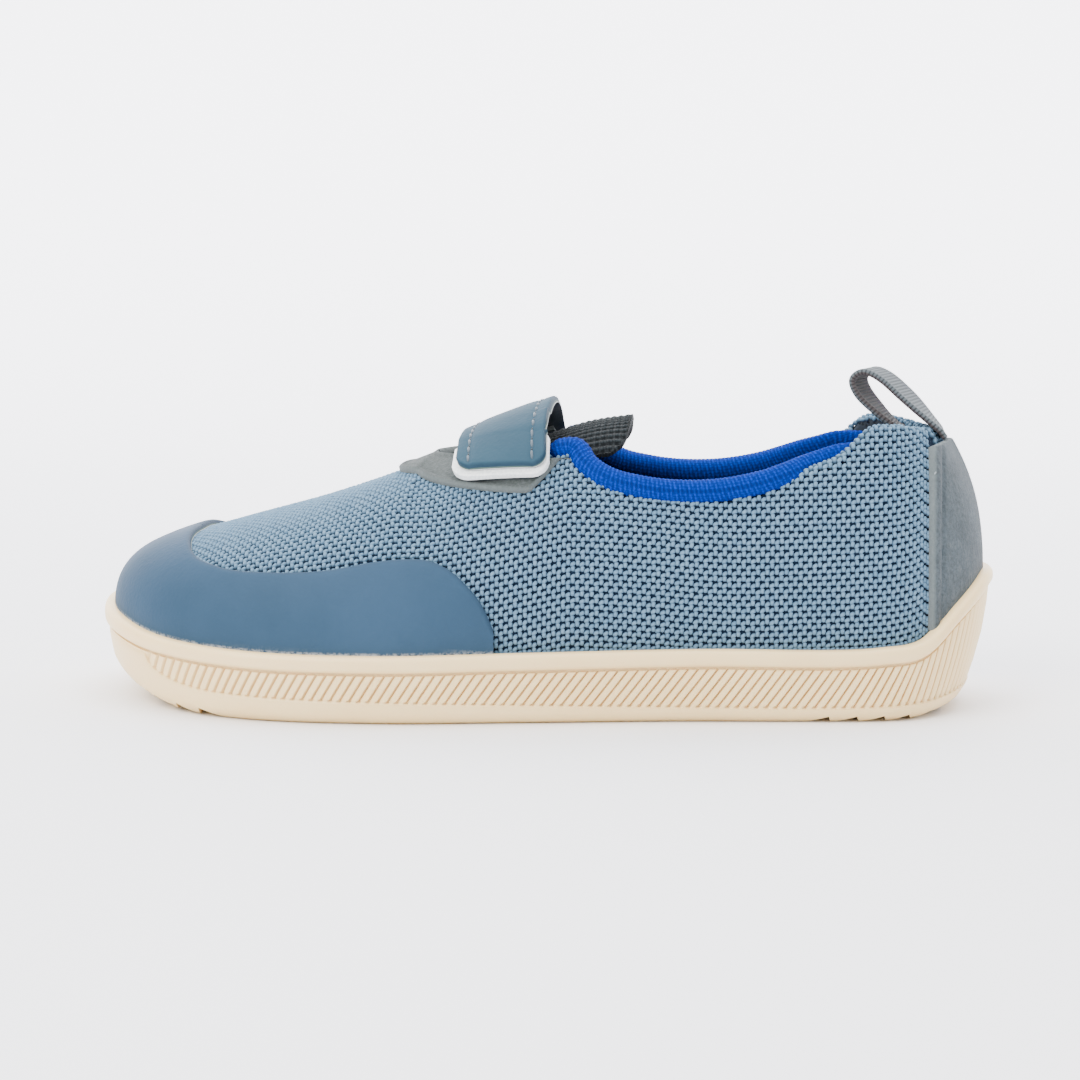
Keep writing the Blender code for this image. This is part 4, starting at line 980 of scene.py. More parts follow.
def make_outsole():
    """Cup sole: lugged bottom, smooth band, slanted ribs, groove and round bead."""
    fine = np.linspace(0, 1, 4001)
    arc = (distance_along(sole_edge(-fine)) + distance_along(sole_edge(fine))) / 2
    end = np.interp(RIB_END, fine, arc)
    offsets = np.array([-0.62, -0.34, -0.15, 0.15, 0.34, 0.62, 1.0]) * MM
    middles = (np.arange(int(end / RIB_PITCH)) + 0.5) * RIB_PITCH
    places = np.concatenate([(middles[:, None] + offsets).ravel(), np.linspace(end, arc[-1], 46)])
    lug_places = np.arccos(1 - 2 * lug_rise(0)[1] / SOLE_LENGTH) / math.pi
    places = np.concatenate([places, np.interp(lug_places, fine, arc)])
    places = np.unique(np.round(places[places > 0.05 * MM], 7))
    places = places[places < arc[-1] - 0.05 * MM]
    t_low = np.interp(places, arc, fine)
    tall = rib_top(t_low) - rib_bottom(t_low)
    slope = np.radians(through(SIDE, 4, t_low))
    t_high = np.interp(np.maximum(places - tall / np.tan(slope), places * 0.2), arc, fine)
    from_groove = np.abs(places / RIB_PITCH % 1 - 0.5) * RIB_PITCH
    fade = np.clip(tall / (1.2 * MM), 0, 1) * (places < end + RIB_PITCH)
    groove = ease((0.36 * MM - from_groove) / (0.2 * MM)) * fade
    flare = ease((0.66 * MM - from_groove) / (0.45 * MM)) * fade
    crown = ease((from_groove - 0.3 * MM) / (0.7 * MM)) * fade
    tilt = ((places / RIB_PITCH + 0.5) % 1 - 0.5) * RIB_TILT * fade

    low = np.concatenate([-t_low[::-1], [0.0], t_low, [1.0]])
    high = np.concatenate([-t_high[::-1], [0.0], t_high, [1.0]])

    def both(values, heel, toe):
        return np.concatenate([values[::-1], [heel], values, [toe]])

    groove, flare, crown = both(groove, groove[0], 0), both(flare, flare[0], 0), both(crown, crown[0], 0)
    tilt = both(tilt, 0, 0)
    base = ground(low)
    cut = lug_rise(SOLE_LENGTH * (1 - np.cos(np.pi * np.abs(low))) / 2)[0]
    rounding = SOLE_WALL * through(SIDE, 7, np.abs(low))
    band = rib_bottom(low) - BAND_STEP
    # The second list holds painted shade for the sole's material: 1 in the groove under the bead, the depth
    # of each rib groove, and smaller values along the band's and bead's edges.
    rows, crevice = [], []

    def add(ring, inset, height, mark=0.0):
        rows.append(raised(plan(ring, inset), height))
        crevice.append(np.broadcast_to(mark, ring.shape))

    for share in (0, 0.05, 0.13, 0.25, 0.42, 0.65, 1.0):
        height = np.minimum(base + np.maximum(rounding * share, cut), band - 0.2 * MM)
        ring = squared_up(low, height, base + np.where(np.abs(low) < 0.5, LUG_DEPTH, TOE_LUG_DEPTH))
        add(ring, side_inset(ring, height), height)
    for share in (0.4, 0.75, 0.93, 1.0):
        height = base + rounding + (band - base - rounding) * share
        height = np.maximum(height, np.minimum(base + rounding, band - 0.15 * MM * (1 - share)))
        lip = 0.12 * MM if share == 1.0 else 0
        add(low, side_inset(low, height) + lip, height, 0.15 if share > 0.9 else 0.0)
    for k, share in enumerate((0, 0.06, 0.2, 0.5, 0.8, 0.94, 1.0)):
        ring = low + (high - low) * share
        start, stop = rib_bottom(low), rib_top(high)
        height = start + (stop - start) * share
        dig = flare * 0.85 if k == 0 else groove
        swell = crown * 0.10 * MM * math.sin(math.pi * min(max(share, 0.1), 0.9))
        inset = side_inset(ring, height) + BAND_STEP + RIB_GROOVE_DEPTH * dig - swell + tilt
        add(ring, inset, height, np.maximum(dig, 0.35 if share in (0, 1.0) else 0))
    face, top = side_inset(high, rib_top(high)), rib_top(high)
    add(high, face + GROOVE_DEPTH, top + 0.15 * GROOVE_HEIGHT, 1.0)
    add(high, face + GROOVE_DEPTH, top + 0.7 * GROOVE_HEIGHT, 1.0)
    bead, rim = bead_height(high), rim_height(high)
    half = (RIM_INSET - 0.5 * CLEARANCE) / 2
    for angle in (-72, -55, -38, -20, 0, 20, 38, 55, 72, 90, 108, 128, 150, 172):
        a = math.radians(angle)
        across = math.copysign(abs(math.cos(a)) ** 0.62, math.cos(a))
        up = math.copysign(abs(math.sin(a)) ** 0.75, math.sin(a))
        add(high, half - half * across, rim - bead / 2 + bead / 2 * up, 0.5 if angle in (-72, 172) else 0.0)
    add(high, foot_inset(high) - CLEARANCE, floor_height(high))
    points = np.stack(rows)
    count = len(low)
    faces = grid_faces(len(rows), count, closed=True)
    sides = len(places)
    for start in (0, (len(rows) - 1) * count):
        pairs = [(start + sides - 1 - k, start + sides + 1 + k) for k in range(sides)]
        faces.append([start + sides, pairs[0][0], pairs[0][1]])
        faces += [[a, c, d, b] for (a, b), (c, d) in zip(pairs, pairs[1:])]
        faces.append([pairs[-1][0], start + count - 1, pairs[-1][1]])
    sole = finish_mesh("cup_sole", points, faces, sole_rubber(), 32, weld=False, crevice=np.stack(crevice))
    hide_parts("outsole")


def turned_in(t):
    """How far the collar's edge has turned inside the knit, from 0 beside the ankle to 1 at the heel."""
    return ease(2 * (WRAP_OUT - t) / (WRAP_OUT - WRAP_IN) - 1)


def upper_top(ring, extra=0):
    """Level of the knit's top edge, which stays under the collar roll where the roll sits on it."""
    t = np.abs(ring)
    covered = (t < ROLL_END + 0.002) * (1 - turned_in(t))
    return level_below(ring, (ROLL_HEIGHT + ROLL_GAP + extra) * covered * slant(ring))


def make_ground():
    """Backing cloth of the knit and the lining inside it, as one wall with a round top edge."""
    half = np.concatenate([stations(0, ROLL_END, spacing=0.0083), stations(ROLL_END + 0.004, THROAT_FRONT, 1,
                                                                           spacing=0.0083)])
    ring = both_sides(half)
    top = upper_top(ring)
    shares = np.linspace(0, 1, 26)
    sink = 0.5 * MM
    rows = [skin(ring, np.full_like(ring, -1.0), sink)]
    rows += [skin(ring, share * top, sink) for share in shares]
    radius = (UPPER_WALL - sink) / 2
    centre = skin(ring, top, sink + radius)
    out = outward(ring, top)
    upward = unit(skin(ring, top, sink + radius) - skin(ring, top - 0.02, sink + radius))
    for angle in np.radians([30, 60, 90, 120, 150]):
        rows.append(centre + (out * math.cos(angle) + upward * math.sin(angle)) * radius)
    turn = len(rows) - 3
    rows += [skin(ring, share * top, UPPER_WALL) for share in shares[::-1]]
    rows.append(skin(ring, np.full_like(ring, -1.0), UPPER_WALL))
    points = np.stack(rows)
    faces = grid_faces(len(rows), len(ring))
    count = len(ring)
    last = (len(rows) - 1) * count
    faces += [[k, last + k, last + k + 1, k + 1] for k in range(count - 1)]
    wall = finish_mesh("knit_ground", points, faces, ground_cloth(), 60, closed=False)
    wall.data.materials.append(lining_cloth())
    inside = (np.arange(len(rows) - 1) >= turn).repeat(count - 1)
    inside = np.concatenate([inside, np.ones(count - 1, bool)])
    wall.data.polygons.foreach_set("material_index", inside.astype(np.int32))
    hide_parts("upper")


def tufts(name, places, finish, tone):
    """Many small plump tufts. places holds centre, long axis, short axis and height axis for each."""
    centre, long_axis, short_axis, height_axis = places
    angles = (np.arange(8) + 0.5) * math.pi / 4
    ring = np.stack([np.sign(np.cos(angles)) * np.abs(np.cos(angles)) ** 0.75,
                     np.sign(np.sin(angles)) * np.abs(np.sin(angles)) ** 0.75], -1)
    shape = np.concatenate([
        np.column_stack([ring, np.full(8, -0.9)]),
        np.column_stack([ring * 0.98, np.full(8, 0.0)]),
        np.column_stack([ring * 0.68, np.full(8, 0.72)]),
        [[0, 0, 1.0]],
    ])
    axes = np.stack([long_axis, short_axis, height_axis], 1)
    points = centre[:, None] + shape @ axes
    around = np.arange(8)
    after = (around + 1) % 8
    band = np.stack([around, after, after + 8, around + 8], -1)
    sides = [band, band + 8]
    caps = np.stack([around + 16, after + 16, np.full(8, 24)], -1)
    offset = (np.arange(len(centre)) * 25)[:, None, None]
    faces = (np.concatenate(sides)[None] + offset).reshape(-1, 4).tolist()
    faces += (caps[None] + offset).reshape(-1, 3).tolist()
    # rise goes from 0 at a tuft's base to 1 at its top; the yarn's material turns it into painted shade low
    # down.
    rise = np.tile(np.clip((shape[:, 2] + 0.15) / 1.0, 0, 1), len(centre))
    return finish_mesh(name, points, faces, finish, 180, closed=False, weld=False, rise=rise,
                       tone=np.repeat(tone, 25))


def knit_sections():
    """Lines down the wall that the knit's columns follow: rings for each column and for each of LEVELS.
    Round the back they keep their ring; from the counter's front edge on they keep their place along X."""
    front = SOLE_LENGTH / 2 - COUNTER_FRONT
    fine = np.linspace(0, 1, 1501)
    top = surface(-fine, 1.0)
    start = float(np.interp(-front, -top[:, 0], fine))
    arc = distance_along(top)
    step = KNIT_COLUMN / 2
    behind = np.interp(np.arange(0, float(np.interp(start, fine, arc)), step), arc, fine)
    line = surface(-fine, 0.5)
    run = np.linalg.norm(np.diff(line, axis=0), axis=1)
    square = np.where(line[1:, 0] > 0, np.abs(np.diff(line[:, 0])) / run, 1)
    pace = np.concatenate([[0], np.cumsum(np.abs(np.diff(line[:, 0])) / np.maximum(square, 0.5))])
    first = float(np.interp(-front, -line[:, 0], pace))
    last = float(np.interp(SOLE_LENGTH * 0.40, -line[:, 0], pace))
    x = np.interp(np.arange(first, last, step), pace, line[:, 0])
    grid_x, grid_level = np.meshgrid(x, LEVELS, indexing="ij")
    rings = solve(lambda s: -surface(-s, grid_level)[..., 0], -grid_x, np.zeros_like(grid_x), 1.0)
    return np.concatenate([np.repeat(behind[:, None], len(LEVELS), 1), rings]), len(behind)


def knit_top(ring):
    """How far below the cut edge the knit ends, where the collar roll takes its place."""
    t = np.abs(ring)
    return (ROLL_HEIGHT - 0.35 * MM) * (t < ROLL_END) * (1 - turned_in(t)) * slant(ring)


def make_knit():
    """The knit's face: for each hole one upright and one slanted tuft of yarn, in rows set half a hole
    over. Its top edge turns over the wall's lip at the heel, and yarn hidden under a cover is left out."""
    sections, behind = knit_sections()
    finish = yarn()
    chance = np.random.default_rng(7)
    top = counter_top()
    rows = np.arange(-3, 62)
    half_throat = COLLAR_WIDTH * float(through(TOP, 2, THROAT_CORNER, False))
    corner = INSTEP_RADIUS * math.asin(half_throat / INSTEP_RADIUS)
    for name, side in (("knit_outer_side", -1.0), ("knit_inner_side", 1.0)):
        ring = side * sections
        line = surface(ring, np.broadcast_to(LEVELS, ring.shape))
        run = np.linalg.norm(np.diff(line, axis=1), axis=-1)
        travelled = np.concatenate([np.zeros((len(ring), 1)), np.cumsum(run, 1)], 1)
        start = ring[:, 0]
        dome_arc = INSTEP_RADIUS * np.arcsin(throat_half(np.abs(start)) / INSTEP_RADIUS)
        offset = np.where(np.abs(start) < THROAT_CORNER, corner, dome_arc)
        edge_z = edge_height(start)
        cut = np.array([np.interp(-z, -row, far) for z, row, far in zip(edge_z, line[..., 2], travelled)])
        edge = np.where(np.abs(start) < THROAT_CORNER, cut, 0) + knit_top(start)
        number = np.arange(len(ring))[:, None]
        parts = []
        for odd, shift_column, shift_row, tilt, length, width, plump in PUFFS:
            from_top = (rows[None, :] + shift_row) * KNIT_ROW - offset[:, None]
            inside = np.maximum(from_top, edge[:, None])
            at_ring = np.array([np.interp(d, far, row) for d, far, row in zip(inside, travelled, ring)])
            at_level = np.array([np.interp(d, far, LEVELS) for d, far in zip(inside, travelled)])
            out = outward(at_ring, at_level)
            flat = skin(at_ring, at_level, YARN_SINK)
            upward = unit(np.cross(np.cross(out, np.array([0, 0, 1.0])), -out))
            upward = upward * np.sign(upward[..., 2:])
            angle = np.clip((edge[:, None] - from_top) / LIP_RADIUS, 0, math.pi * 0.9)[..., None]
            centre = skin(at_ring, at_level, LIP_RADIUS)
            turned = out * np.cos(angle) + upward * np.sin(angle)
            point = np.where(angle > 0, centre + turned * (LIP_RADIUS - YARN_SINK), flat)
            normal = np.where(angle > 0, turned, out)
            along = np.concatenate([np.gradient(part, axis=0) for part in (point[:behind], point[behind:])])
            along = unit(along - normal * np.sum(along * normal, -1, keepdims=True)) * -1
            up = np.cross(along, normal)
            rising = upward * np.cos(angle) - out * np.sin(angle)
            up = up * np.sign(np.sum(up * rising, -1, keepdims=True))
            t = np.abs(at_ring)
            keep = (number + rows[None, :]) % 2 == odd
            on_lip = (from_top > edge[:, None] - LIP_TURN) & (t < WRAP_OUT - 0.02)
            keep &= (from_top > edge[:, None]) | on_lip
            keep &= from_top < travelled[:, -1:] + 0.9 * KNIT_ROW
            keep &= ~((t > GUARD_REAR + 0.03) & (at_level < guard_edge(at_ring) - UNDER_GUARD))
            in_counter = (point[..., 0] > SOLE_LENGTH / 2 - COUNTER_FRONT + 1.0 * MM) | (number < behind)
            keep &= ~(in_counter & (at_level < top - UNDER_SUEDE))
            keep &= ~((t > EYESTAY_START) & (at_level > eyestay_edge(at_ring) + UNDER_SUEDE))
            chosen = point[keep] + along[keep] * shift_column * KNIT_COLUMN
            lean = np.radians(tilt + chance.normal(0, 4, len(chosen)))[:, None]
            a, u, n = along[keep], up[keep], normal[keep]
            parts.append((chosen + chance.normal(0, 0.03 * MM, chosen.shape),
                          (a * np.cos(lean) + u * np.sin(lean)) * length * MM,
                          (u * np.cos(lean) - a * np.sin(lean)) * width * MM,
                          n * plump * MM,
                          np.clip(chance.normal(0.5, 0.2, len(chosen)), 0, 1)[:, None] * np.ones(3)))
        places = [np.concatenate(part) for part in zip(*parts)]
        knit = tufts(name, places[:4], finish, places[4][:, 0])


def guard_edge(ring):
    """Level of the toe guard's upper edge, which crosses the ridge behind the toe."""

    def over_line(level):
        point = surface(ring, level)
        return point[..., 2] - TOE_HEIGHT * through(GUARD_LINE, 1, place_along(point), False)

    level = solve(over_line, 0, np.zeros_like(ring), 1.0)
    return np.where(level > 0.999, 1, level)


def make_toe_guard():
    """Smooth leather toe guard with a thin rounded edge."""

    def room(t):
        point = surface(-t, 1.0)
        return TOE_HEIGHT * through(GUARD_LINE, 1, place_along(point), False) - point[..., 2]

    crest = float(solve(room, 0, 0.8, 0.95))
    half = np.concatenate([stations(GUARD_REAR, 0.56, spacing=0.0008), stations(0.56, 0.8, spacing=0.005)[1:],
                           stations(0.8, crest, spacing=0.0022)[1:], stations(crest, 1, spacing=0.006)[1:]])
    ring = both_sides(half)
    edge = np.where(np.abs(ring) >= crest - 1e-9, 1, guard_edge(ring))
    low = 0.003
    shares = 1 - edge_shares(26 * MM, 22)[::-1]
    level = low + shares * (np.maximum(edge, low)[:, None] - low)
    grid_ring = np.broadcast_to(ring[:, None], level.shape)
    open_edge = np.zeros(level.shape, bool)
    open_edge[:, -1] = np.abs(ring) < crest
    seam = np.zeros(level.shape, bool)
    seam[:, 0] = True
    guard = cover("guard_leather", grid_ring, level, GUARD_THICKNESS, 1.1 * MM,
                  leather("guard_leather", "#2f465c", "#2a4054", 0.6), open_edge, seam)
    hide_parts("toe_guard")


def make_heel_counter():
    """Suede counter with a turned and stitched channel down both front edges."""
    top = counter_top()
    level = 0.004 + edge_shares(38 * MM, 44) * (top - 0.004)
    x = SOLE_LENGTH / 2 - COUNTER_FRONT
    fronts = [side * solve(lambda t: -surface(side * t, level)[..., 0], -x, np.zeros_like(level), 0.4)
              for side in (-1, 1)]
    shares = edge_shares(50 * MM, 90) * 2 - 1
    ring = np.where(shares < 0, -shares * fronts[0][:, None], shares * fronts[1][:, None])
    grid_level = np.broadcast_to(level[:, None], ring.shape)
    open_edge = np.zeros(ring.shape, bool)
    open_edge[:, 0] = open_edge[:, -1] = open_edge[-1] = True

    def channel(edge, base):
        from_front = base[..., 0] - x
        line = np.exp(-((from_front - 1.9 * MM) / (0.32 * MM)) ** 2)
        pad = np.exp(-((from_front - 0.85 * MM) / (0.75 * MM)) ** 2)
        return 0.30 * MM * pad - 0.38 * MM * line

    counter = cover("counter_suede", ring, grid_level, COUNTER_THICKNESS, 0.7 * MM,
                    suede("counter_suede", "#4f595f", "#424b50"), open_edge, relief=channel)
    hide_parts("heel_counter")


def eyestay_edge(ring):
    """Level of the eyestay's outer edge: straight beside the throat, then half an oval ahead of it."""
    start = float(through(TOP, 1, THROAT_CORNER, False))

    def over_line(level):
        point = surface(ring, level)
        along = place_along(point)
        reach = np.abs(point[..., 1] - ridge(along)[1])
        ahead = np.clip((along - start) / (EYESTAY_END - start), 0, 1)
        corner = EYESTAY_REACH * 0.22 * (1 - ease((along - start) / 0.05))
        return EYESTAY_REACH * np.sqrt(1 - ahead**2.6) - corner - reach

    return solve(over_line, 0, np.full_like(ring, 0.3), 1.0)


def make_eyestay():
    """Suede facing round the throat, with a stitched line inside its outer edge."""
    front = float(solve(lambda s: through(TOP, 1, s, False), EYESTAY_END, THROAT_FRONT, 0.7))
    start = ROLL_END + 0.004
    throat = start + (THROAT_FRONT - start) * np.sin(np.linspace(0, math.pi / 2, 40))
    ahead = front - (front - THROAT_FRONT) * np.linspace(1, 0, 24)[1:] ** 2
    beside = THROAT_CORNER + (ROLL_END - THROAT_CORNER) * edge_shares(5 * MM, 8)[:-6]
    ring = both_sides(np.concatenate([beside, throat, ahead]))
    t = np.abs(ring)
    top = np.where(t >= THROAT_FRONT - 1e-9, 1, upper_top(ring, CLEARANCE))
    low = np.where(t >= front - 1e-9, 1, np.minimum(eyestay_edge(ring), top))
    level = low[:, None] + edge_shares(13 * MM, 16) * (top - low)[:, None]
    grid_ring = np.broadcast_to(ring[:, None], level.shape)
    open_edge = np.zeros(level.shape, bool)
    open_edge[:, 0] = True
    open_edge[0] = open_edge[-1] = True
    open_edge[:, -1] = t < THROAT_FRONT

    def stitched(edge, base):
        piping = 0.38 * MM * np.exp(-((edge - 0.65 * MM) / (0.5 * MM)) ** 2)
        return piping - 0.2 * MM * np.exp(-((edge - 1.6 * MM) / (0.35 * MM)) ** 2)

    stay = cover("eyestay_suede", grid_ring, level, 0.8 * EYESTAY_THICKNESS, 0.6 * MM,
                 suede("eyestay_suede", "#4a504f", "#3e4543"), open_edge, relief=stitched, lift=0.2 * MM)
    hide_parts("eyestay")


def make_collar_roll():
    """Blue ribbed roll along the ankle, turning inside the knit at the heel."""
    half = np.unique(np.concatenate([stations(0, WRAP_IN, WRAP_OUT, 0.43, ROLL_END, spacing=0.011)]))
    ring = both_sides(half[::-1])
    t = np.abs(ring)
    inside = ease(2 * (WRAP_OUT - t) / (WRAP_OUT - WRAP_IN))
    fall = turned_in(t)
    half_width = (ROLL_THICKNESS + (LINING_THICKNESS - ROLL_THICKNESS) * inside) / 2
    half_height = (ROLL_HEIGHT + (LINING_HEIGHT - ROLL_HEIGHT) * fall) / 2
    depth = UPPER_WALL / 2 + (UPPER_WALL / 2 + CLEARANCE + half_width) * inside
    level = level_below(ring, half_height * slant(ring) + fall * LINING_DROP)
    middle = skin(ring, level, depth)
    out = outward(ring, level)
    arc = distance_along(middle)
    at = np.arange(0, arc[-1], COLLAR_RIB / 6)
    middle, out = curve_through(arc, middle, at), unit(curve_through(arc, out, at))
    width, height = np.interp(at, arc, half_width), np.interp(at, arc, half_height)
    path = unit(np.gradient(middle, axis=0))
    out = unit(out - path * np.sum(out * path, -1, keepdims=True))
    upward = unit(np.cross(path, out))
    upward = upward * np.sign(upward[:, 2:])
    angles = np.linspace(0, 2 * math.pi, 25)[:-1]
    wave = np.cos(2 * math.pi * at[:, None] / COLLAR_RIB + 4 * angles)
    end = np.minimum(at, arc[-1] - at)
    taper = np.sqrt(np.clip(end / (3.0 * MM), 0.02, 1))
    across = np.sign(np.cos(angles)) * np.abs(np.cos(angles)) ** 0.85
    rise = np.sign(np.sin(angles)) * np.abs(np.sin(angles)) ** 0.85
    swell = COLLAR_RELIEF * wave
    reach_out = (width[:, None] + swell) * across * taper[:, None]
    reach_up = (height[:, None] + swell) * rise * taper[:, None]
    points = middle[:, None] + out[:, None] * reach_out[..., None] + upward[:, None] * reach_up[..., None]
    faces = grid_faces(len(at), len(angles), closed=True)
    faces.append(list(range(len(angles)))[::-1])
    faces.append([(len(at) - 1) * len(angles) + k for k in range(len(angles))])
    # 001a60 is painted shade between the ribs; rise below is low between them.
    finish = rib_knit("collar_knit", "#0036a4", "#002c88", "#001a60", 0.0)
    roll = finish_mesh("collar_roll", points, faces, finish, 80, rise=(wave + 1) / 2,
                       run=np.broadcast_to(at[:, None], swell.shape),
                       turn=angles[None, :] * (width + height)[:, None] / 2)
    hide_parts("collar_binding")


def dome(along, y, depth):
    """Point over the instep at a signed distance from the ridge, this deep under the last."""
    height, across_ridge, slope = ridge(along)
    x = SOLE_LENGTH * (0.5 - along)
    down = np.sqrt(INSTEP_RADIUS**2 - y**2)
    normal = unit(np.stack([-slope * np.ones_like(y), y / down, np.ones_like(y)], -1))
    base = np.stack([x * np.ones_like(y), across_ridge + y, height - dome_drop(y)], -1)
    return base - normal * np.broadcast_to(depth, y.shape)[..., None]


def make_tongue():
    """Dark ribbed tongue with a thick rounded top edge."""
    length = TONGUE[-1][0] - TONGUE[0][0]
    along = (TONGUE[0][0] + length * np.linspace(0, 1, 150) ** 1.25)[:, None]
    half = TONGUE_WIDTH * through(TONGUE, 1, along)
    share = np.sin(np.linspace(-1, 1, 161) * math.pi / 2)
    y = share * half
    depth = TONGUE_DEPTH * through(TONGUE, 2, along)
    thick = TONGUE_THICKNESS * through(TONGUE, 3, along)
    rounding = np.sqrt(np.clip(1 - np.abs(share) ** 3, 0.12, 1))
    wave = np.cos(2 * math.pi * y / TONGUE_RIB)
    beads = np.cos(2 * math.pi * (along * SOLE_LENGTH / TONGUE_LOOP + 0.25 * np.sign(wave)))
    rib = TONGUE_RELIEF * wave + TONGUE_BEAD * beads
    top = depth + (1 - rounding) * thick / 2 - rib
    bottom = depth + thick - (1 - rounding) * thick / 2
    # rise is low between the ribs and beads, where rib_knit paints the shade colour #0d1012.
    rise = np.clip(0.5 + 0.35 * wave + 0.2 * beads, 0, 1)
    tongue = sheet_solid("tongue_knit", dome(along, y, top), dome(along, y, bottom),
                         rib_knit("tongue_knit", "#2b3134", "#1c2124", "#0d1012", 0.1), 80, rise=rise,
                         run=along * SOLE_LENGTH * np.ones_like(y), turn=y)
    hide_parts("tongue")


def over_instep(along, place, depth):
    """Point on the line over the instep: place 0 is the ridge, 1 the throat's edge, and beyond it the
    distance down the wall in metres is added to 1."""
    along, place, depth = [np.asarray(v, float).copy() for v in np.broadcast_arrays(along, place, depth)]
    shape = along.shape
    along, place, depth = along.ravel(), place.ravel(), depth.ravel()
    drop = np.maximum(np.abs(place) - 1, 0)
    side = side_of(place)
    x = SOLE_LENGTH * (0.5 - along)
    low, high = THROAT_CORNER - 0.06, THROAT_FRONT + 0.03
    t = solve(lambda s: -surface(side * s, level_below(side * s, drop))[..., 0], -x,
              np.full_like(x, low), high)
    edge = solve(lambda s: through(TOP, 1, s, False), along, np.full_like(x, 0.4), THROAT_FRONT)
    on_dome = dome(along, np.clip(place, -1, 1) * throat_half(edge), depth)
    on_wall = skin(side * t, level_below(side * t, drop), depth)
    return np.where((np.abs(place) <= 1)[..., None], on_dome, on_wall).reshape(shape + (3,))


SEWN_UNDER = OVERLAY_LIFT + EYESTAY_THICKNESS + CLEARANCE
FREE_UNDER = SEWN_UNDER + PATCH_THICKNESS + CLEARANCE


def band_sheet(front_margin, rear_margin):
    """Middle sheet of the strap's underside, with its width from rear to front edge, and its length."""
    along = STRAP_REAR + np.linspace(-rear_margin, STRAP_WIDTH + front_margin, 6)[:, None] / SOLE_LENGTH
    extra = STRAP_REACH + PATCH_MARGIN
    place = np.concatenate([-1 - np.linspace(extra, 0, 6)[:-1], np.linspace(-1, 1, 9),
                            1 + np.linspace(0, extra, 6)[1:]])[None, :]
    share = ease((np.clip(place, -1, 1) + 1) / 2)
    sag = STRAP_SAG * np.clip(1 - place**2, 0, 1)
    under = FREE_UNDER + (SEWN_UNDER - FREE_UNDER) * share - sag
    coarse = over_instep(along, place, -under)
    sheet = finer(coarse, 80, 320)
    arc = distance_along(sheet[40])
    even = np.interp(np.linspace(0, arc[-1], 320), arc, np.arange(320)) / 319
    row = np.linspace(0, 1, 80)[:, None] * np.ones(320)
    return read_grid(sheet, row, even * np.ones((80, 1))), arc[-1]


def rounded_patch(width, length, low, high, corner, count):
    """Shares across and along a band for a patch from low to high, rounded most at its low end."""
    across = edge_shares(width, count[0])
    inset = np.maximum(corner - np.minimum(across, 1 - across) * width, 0)
    pull = corner - np.sqrt(np.maximum(corner**2 - inset**2, 0))
    shares = edge_shares(high - low, count[1])
    start = low + pull
    place = start[:, None] + (high - pull * 0.4 - start)[:, None] * shares
    return across[:, None] * np.ones_like(place), place / length


def normal_sheet(sheet):
    """Normals of a sheet that faces up."""
    normal = normals_of(sheet)
    return normal * np.sign(normal[..., 2:].mean())


def from_border(base):
    """Distance of each point of a sheet to its border."""
    return distance_to(base, np.concatenate([base[0], base[-1], base[:, 0], base[:, -1]]))


def curled(across, along):
    """How far the strap's rear edge curls up near its free end."""
    return CURL * np.exp(-across / (1.6 * MM)) * (along < 0.3)


def make_strap():
    """Grey-blue leather strap with two rows of stitches, each stitch followed by its needle hole, drawn as a
    near-black mark of painted shade. Its free end closes on a white touch fastener."""
    sheet, length = band_sheet(0, 0)
    margin = PATCH_MARGIN
    row, column = rounded_patch(STRAP_WIDTH, length, margin, length - margin, STRAP_CORNER, (36, 190))
    base = read_grid(sheet, row, column)
    normal = normal_sheet(base)
    edge = from_border(base)
    round_off = np.sqrt(1 - (1 - np.clip(edge / (0.55 * MM), 0, 1)) ** 2)
    across = row * STRAP_WIDTH
    from_side = np.minimum(across, STRAP_WIDTH - across)
    seam = np.exp(-((from_side - STITCH_INSET) / (0.5 * MM)) ** 2)
    pad = 0.18 * MM * np.sin(np.clip((from_side - STITCH_INSET) / (3 * MM), 0, 1) * math.pi / 2)
    lift = curled(across, column)
    height = STRAP_THICKNESS * (0.55 + 0.45 * round_off) - 0.28 * MM * seam + pad - 0.15 * MM
    outer = base + normal * (height + lift)[..., None]
    inner = base + normal * lift[..., None]
    finish = leather("strap_leather", "#2b4655", "#263f4e", 0.6)
    strap = sheet_solid("strap_leather", outer, inner, finish, 60, rim=np.clip(1 - edge / (0.7 * MM), 0, 1))
    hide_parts("strap")

    centres, longs, shorts, highs, tones = [], [], [], [], []
    for share in (STITCH_INSET / STRAP_WIDTH, 1 - STITCH_INSET / STRAP_WIDTH):
        steps = np.arange(margin + 2.2 * MM, length - margin - 2 * MM, STITCH_PITCH)
        rows = np.full_like(steps, share)
        here = read_grid(sheet, rows, steps / length)
        ahead = read_grid(sheet, rows, (steps + MM) / length)
        direction = unit(ahead - here)
        up = read_grid(normal_sheet(sheet), rows, steps / length)
        lift = curled(share * STRAP_WIDTH, steps / length)
        middle = here + up * (STRAP_THICKNESS - 0.36 * MM + lift[:, None])
        across = np.cross(up, direction)
        slanted = unit(direction + across * 0.12)
        centres += [middle, middle + direction * STITCH_PITCH / 2 - up * 0.16 * MM]
        longs += [slanted * STITCH_HALF_LENGTH, direction * HOLE_HALF_LENGTH]
        shorts += [np.cross(up, slanted) * THREAD_RADIUS, across * HOLE_HALF_WIDTH]
        highs += [up * 1.2 * THREAD_RADIUS, up * 0.2 * MM]
        # Tone 0 marks the needle holes, which the thread material paints near black as painted shade.
        tones += [np.full(len(steps), 0.5), np.zeros(len(steps))]
    places = [np.concatenate(part) for part in (centres, longs, shorts, highs)]
    stitches = tufts("strap_stitches", places, thread("strap_thread", "#42525f"), np.concatenate(tones))


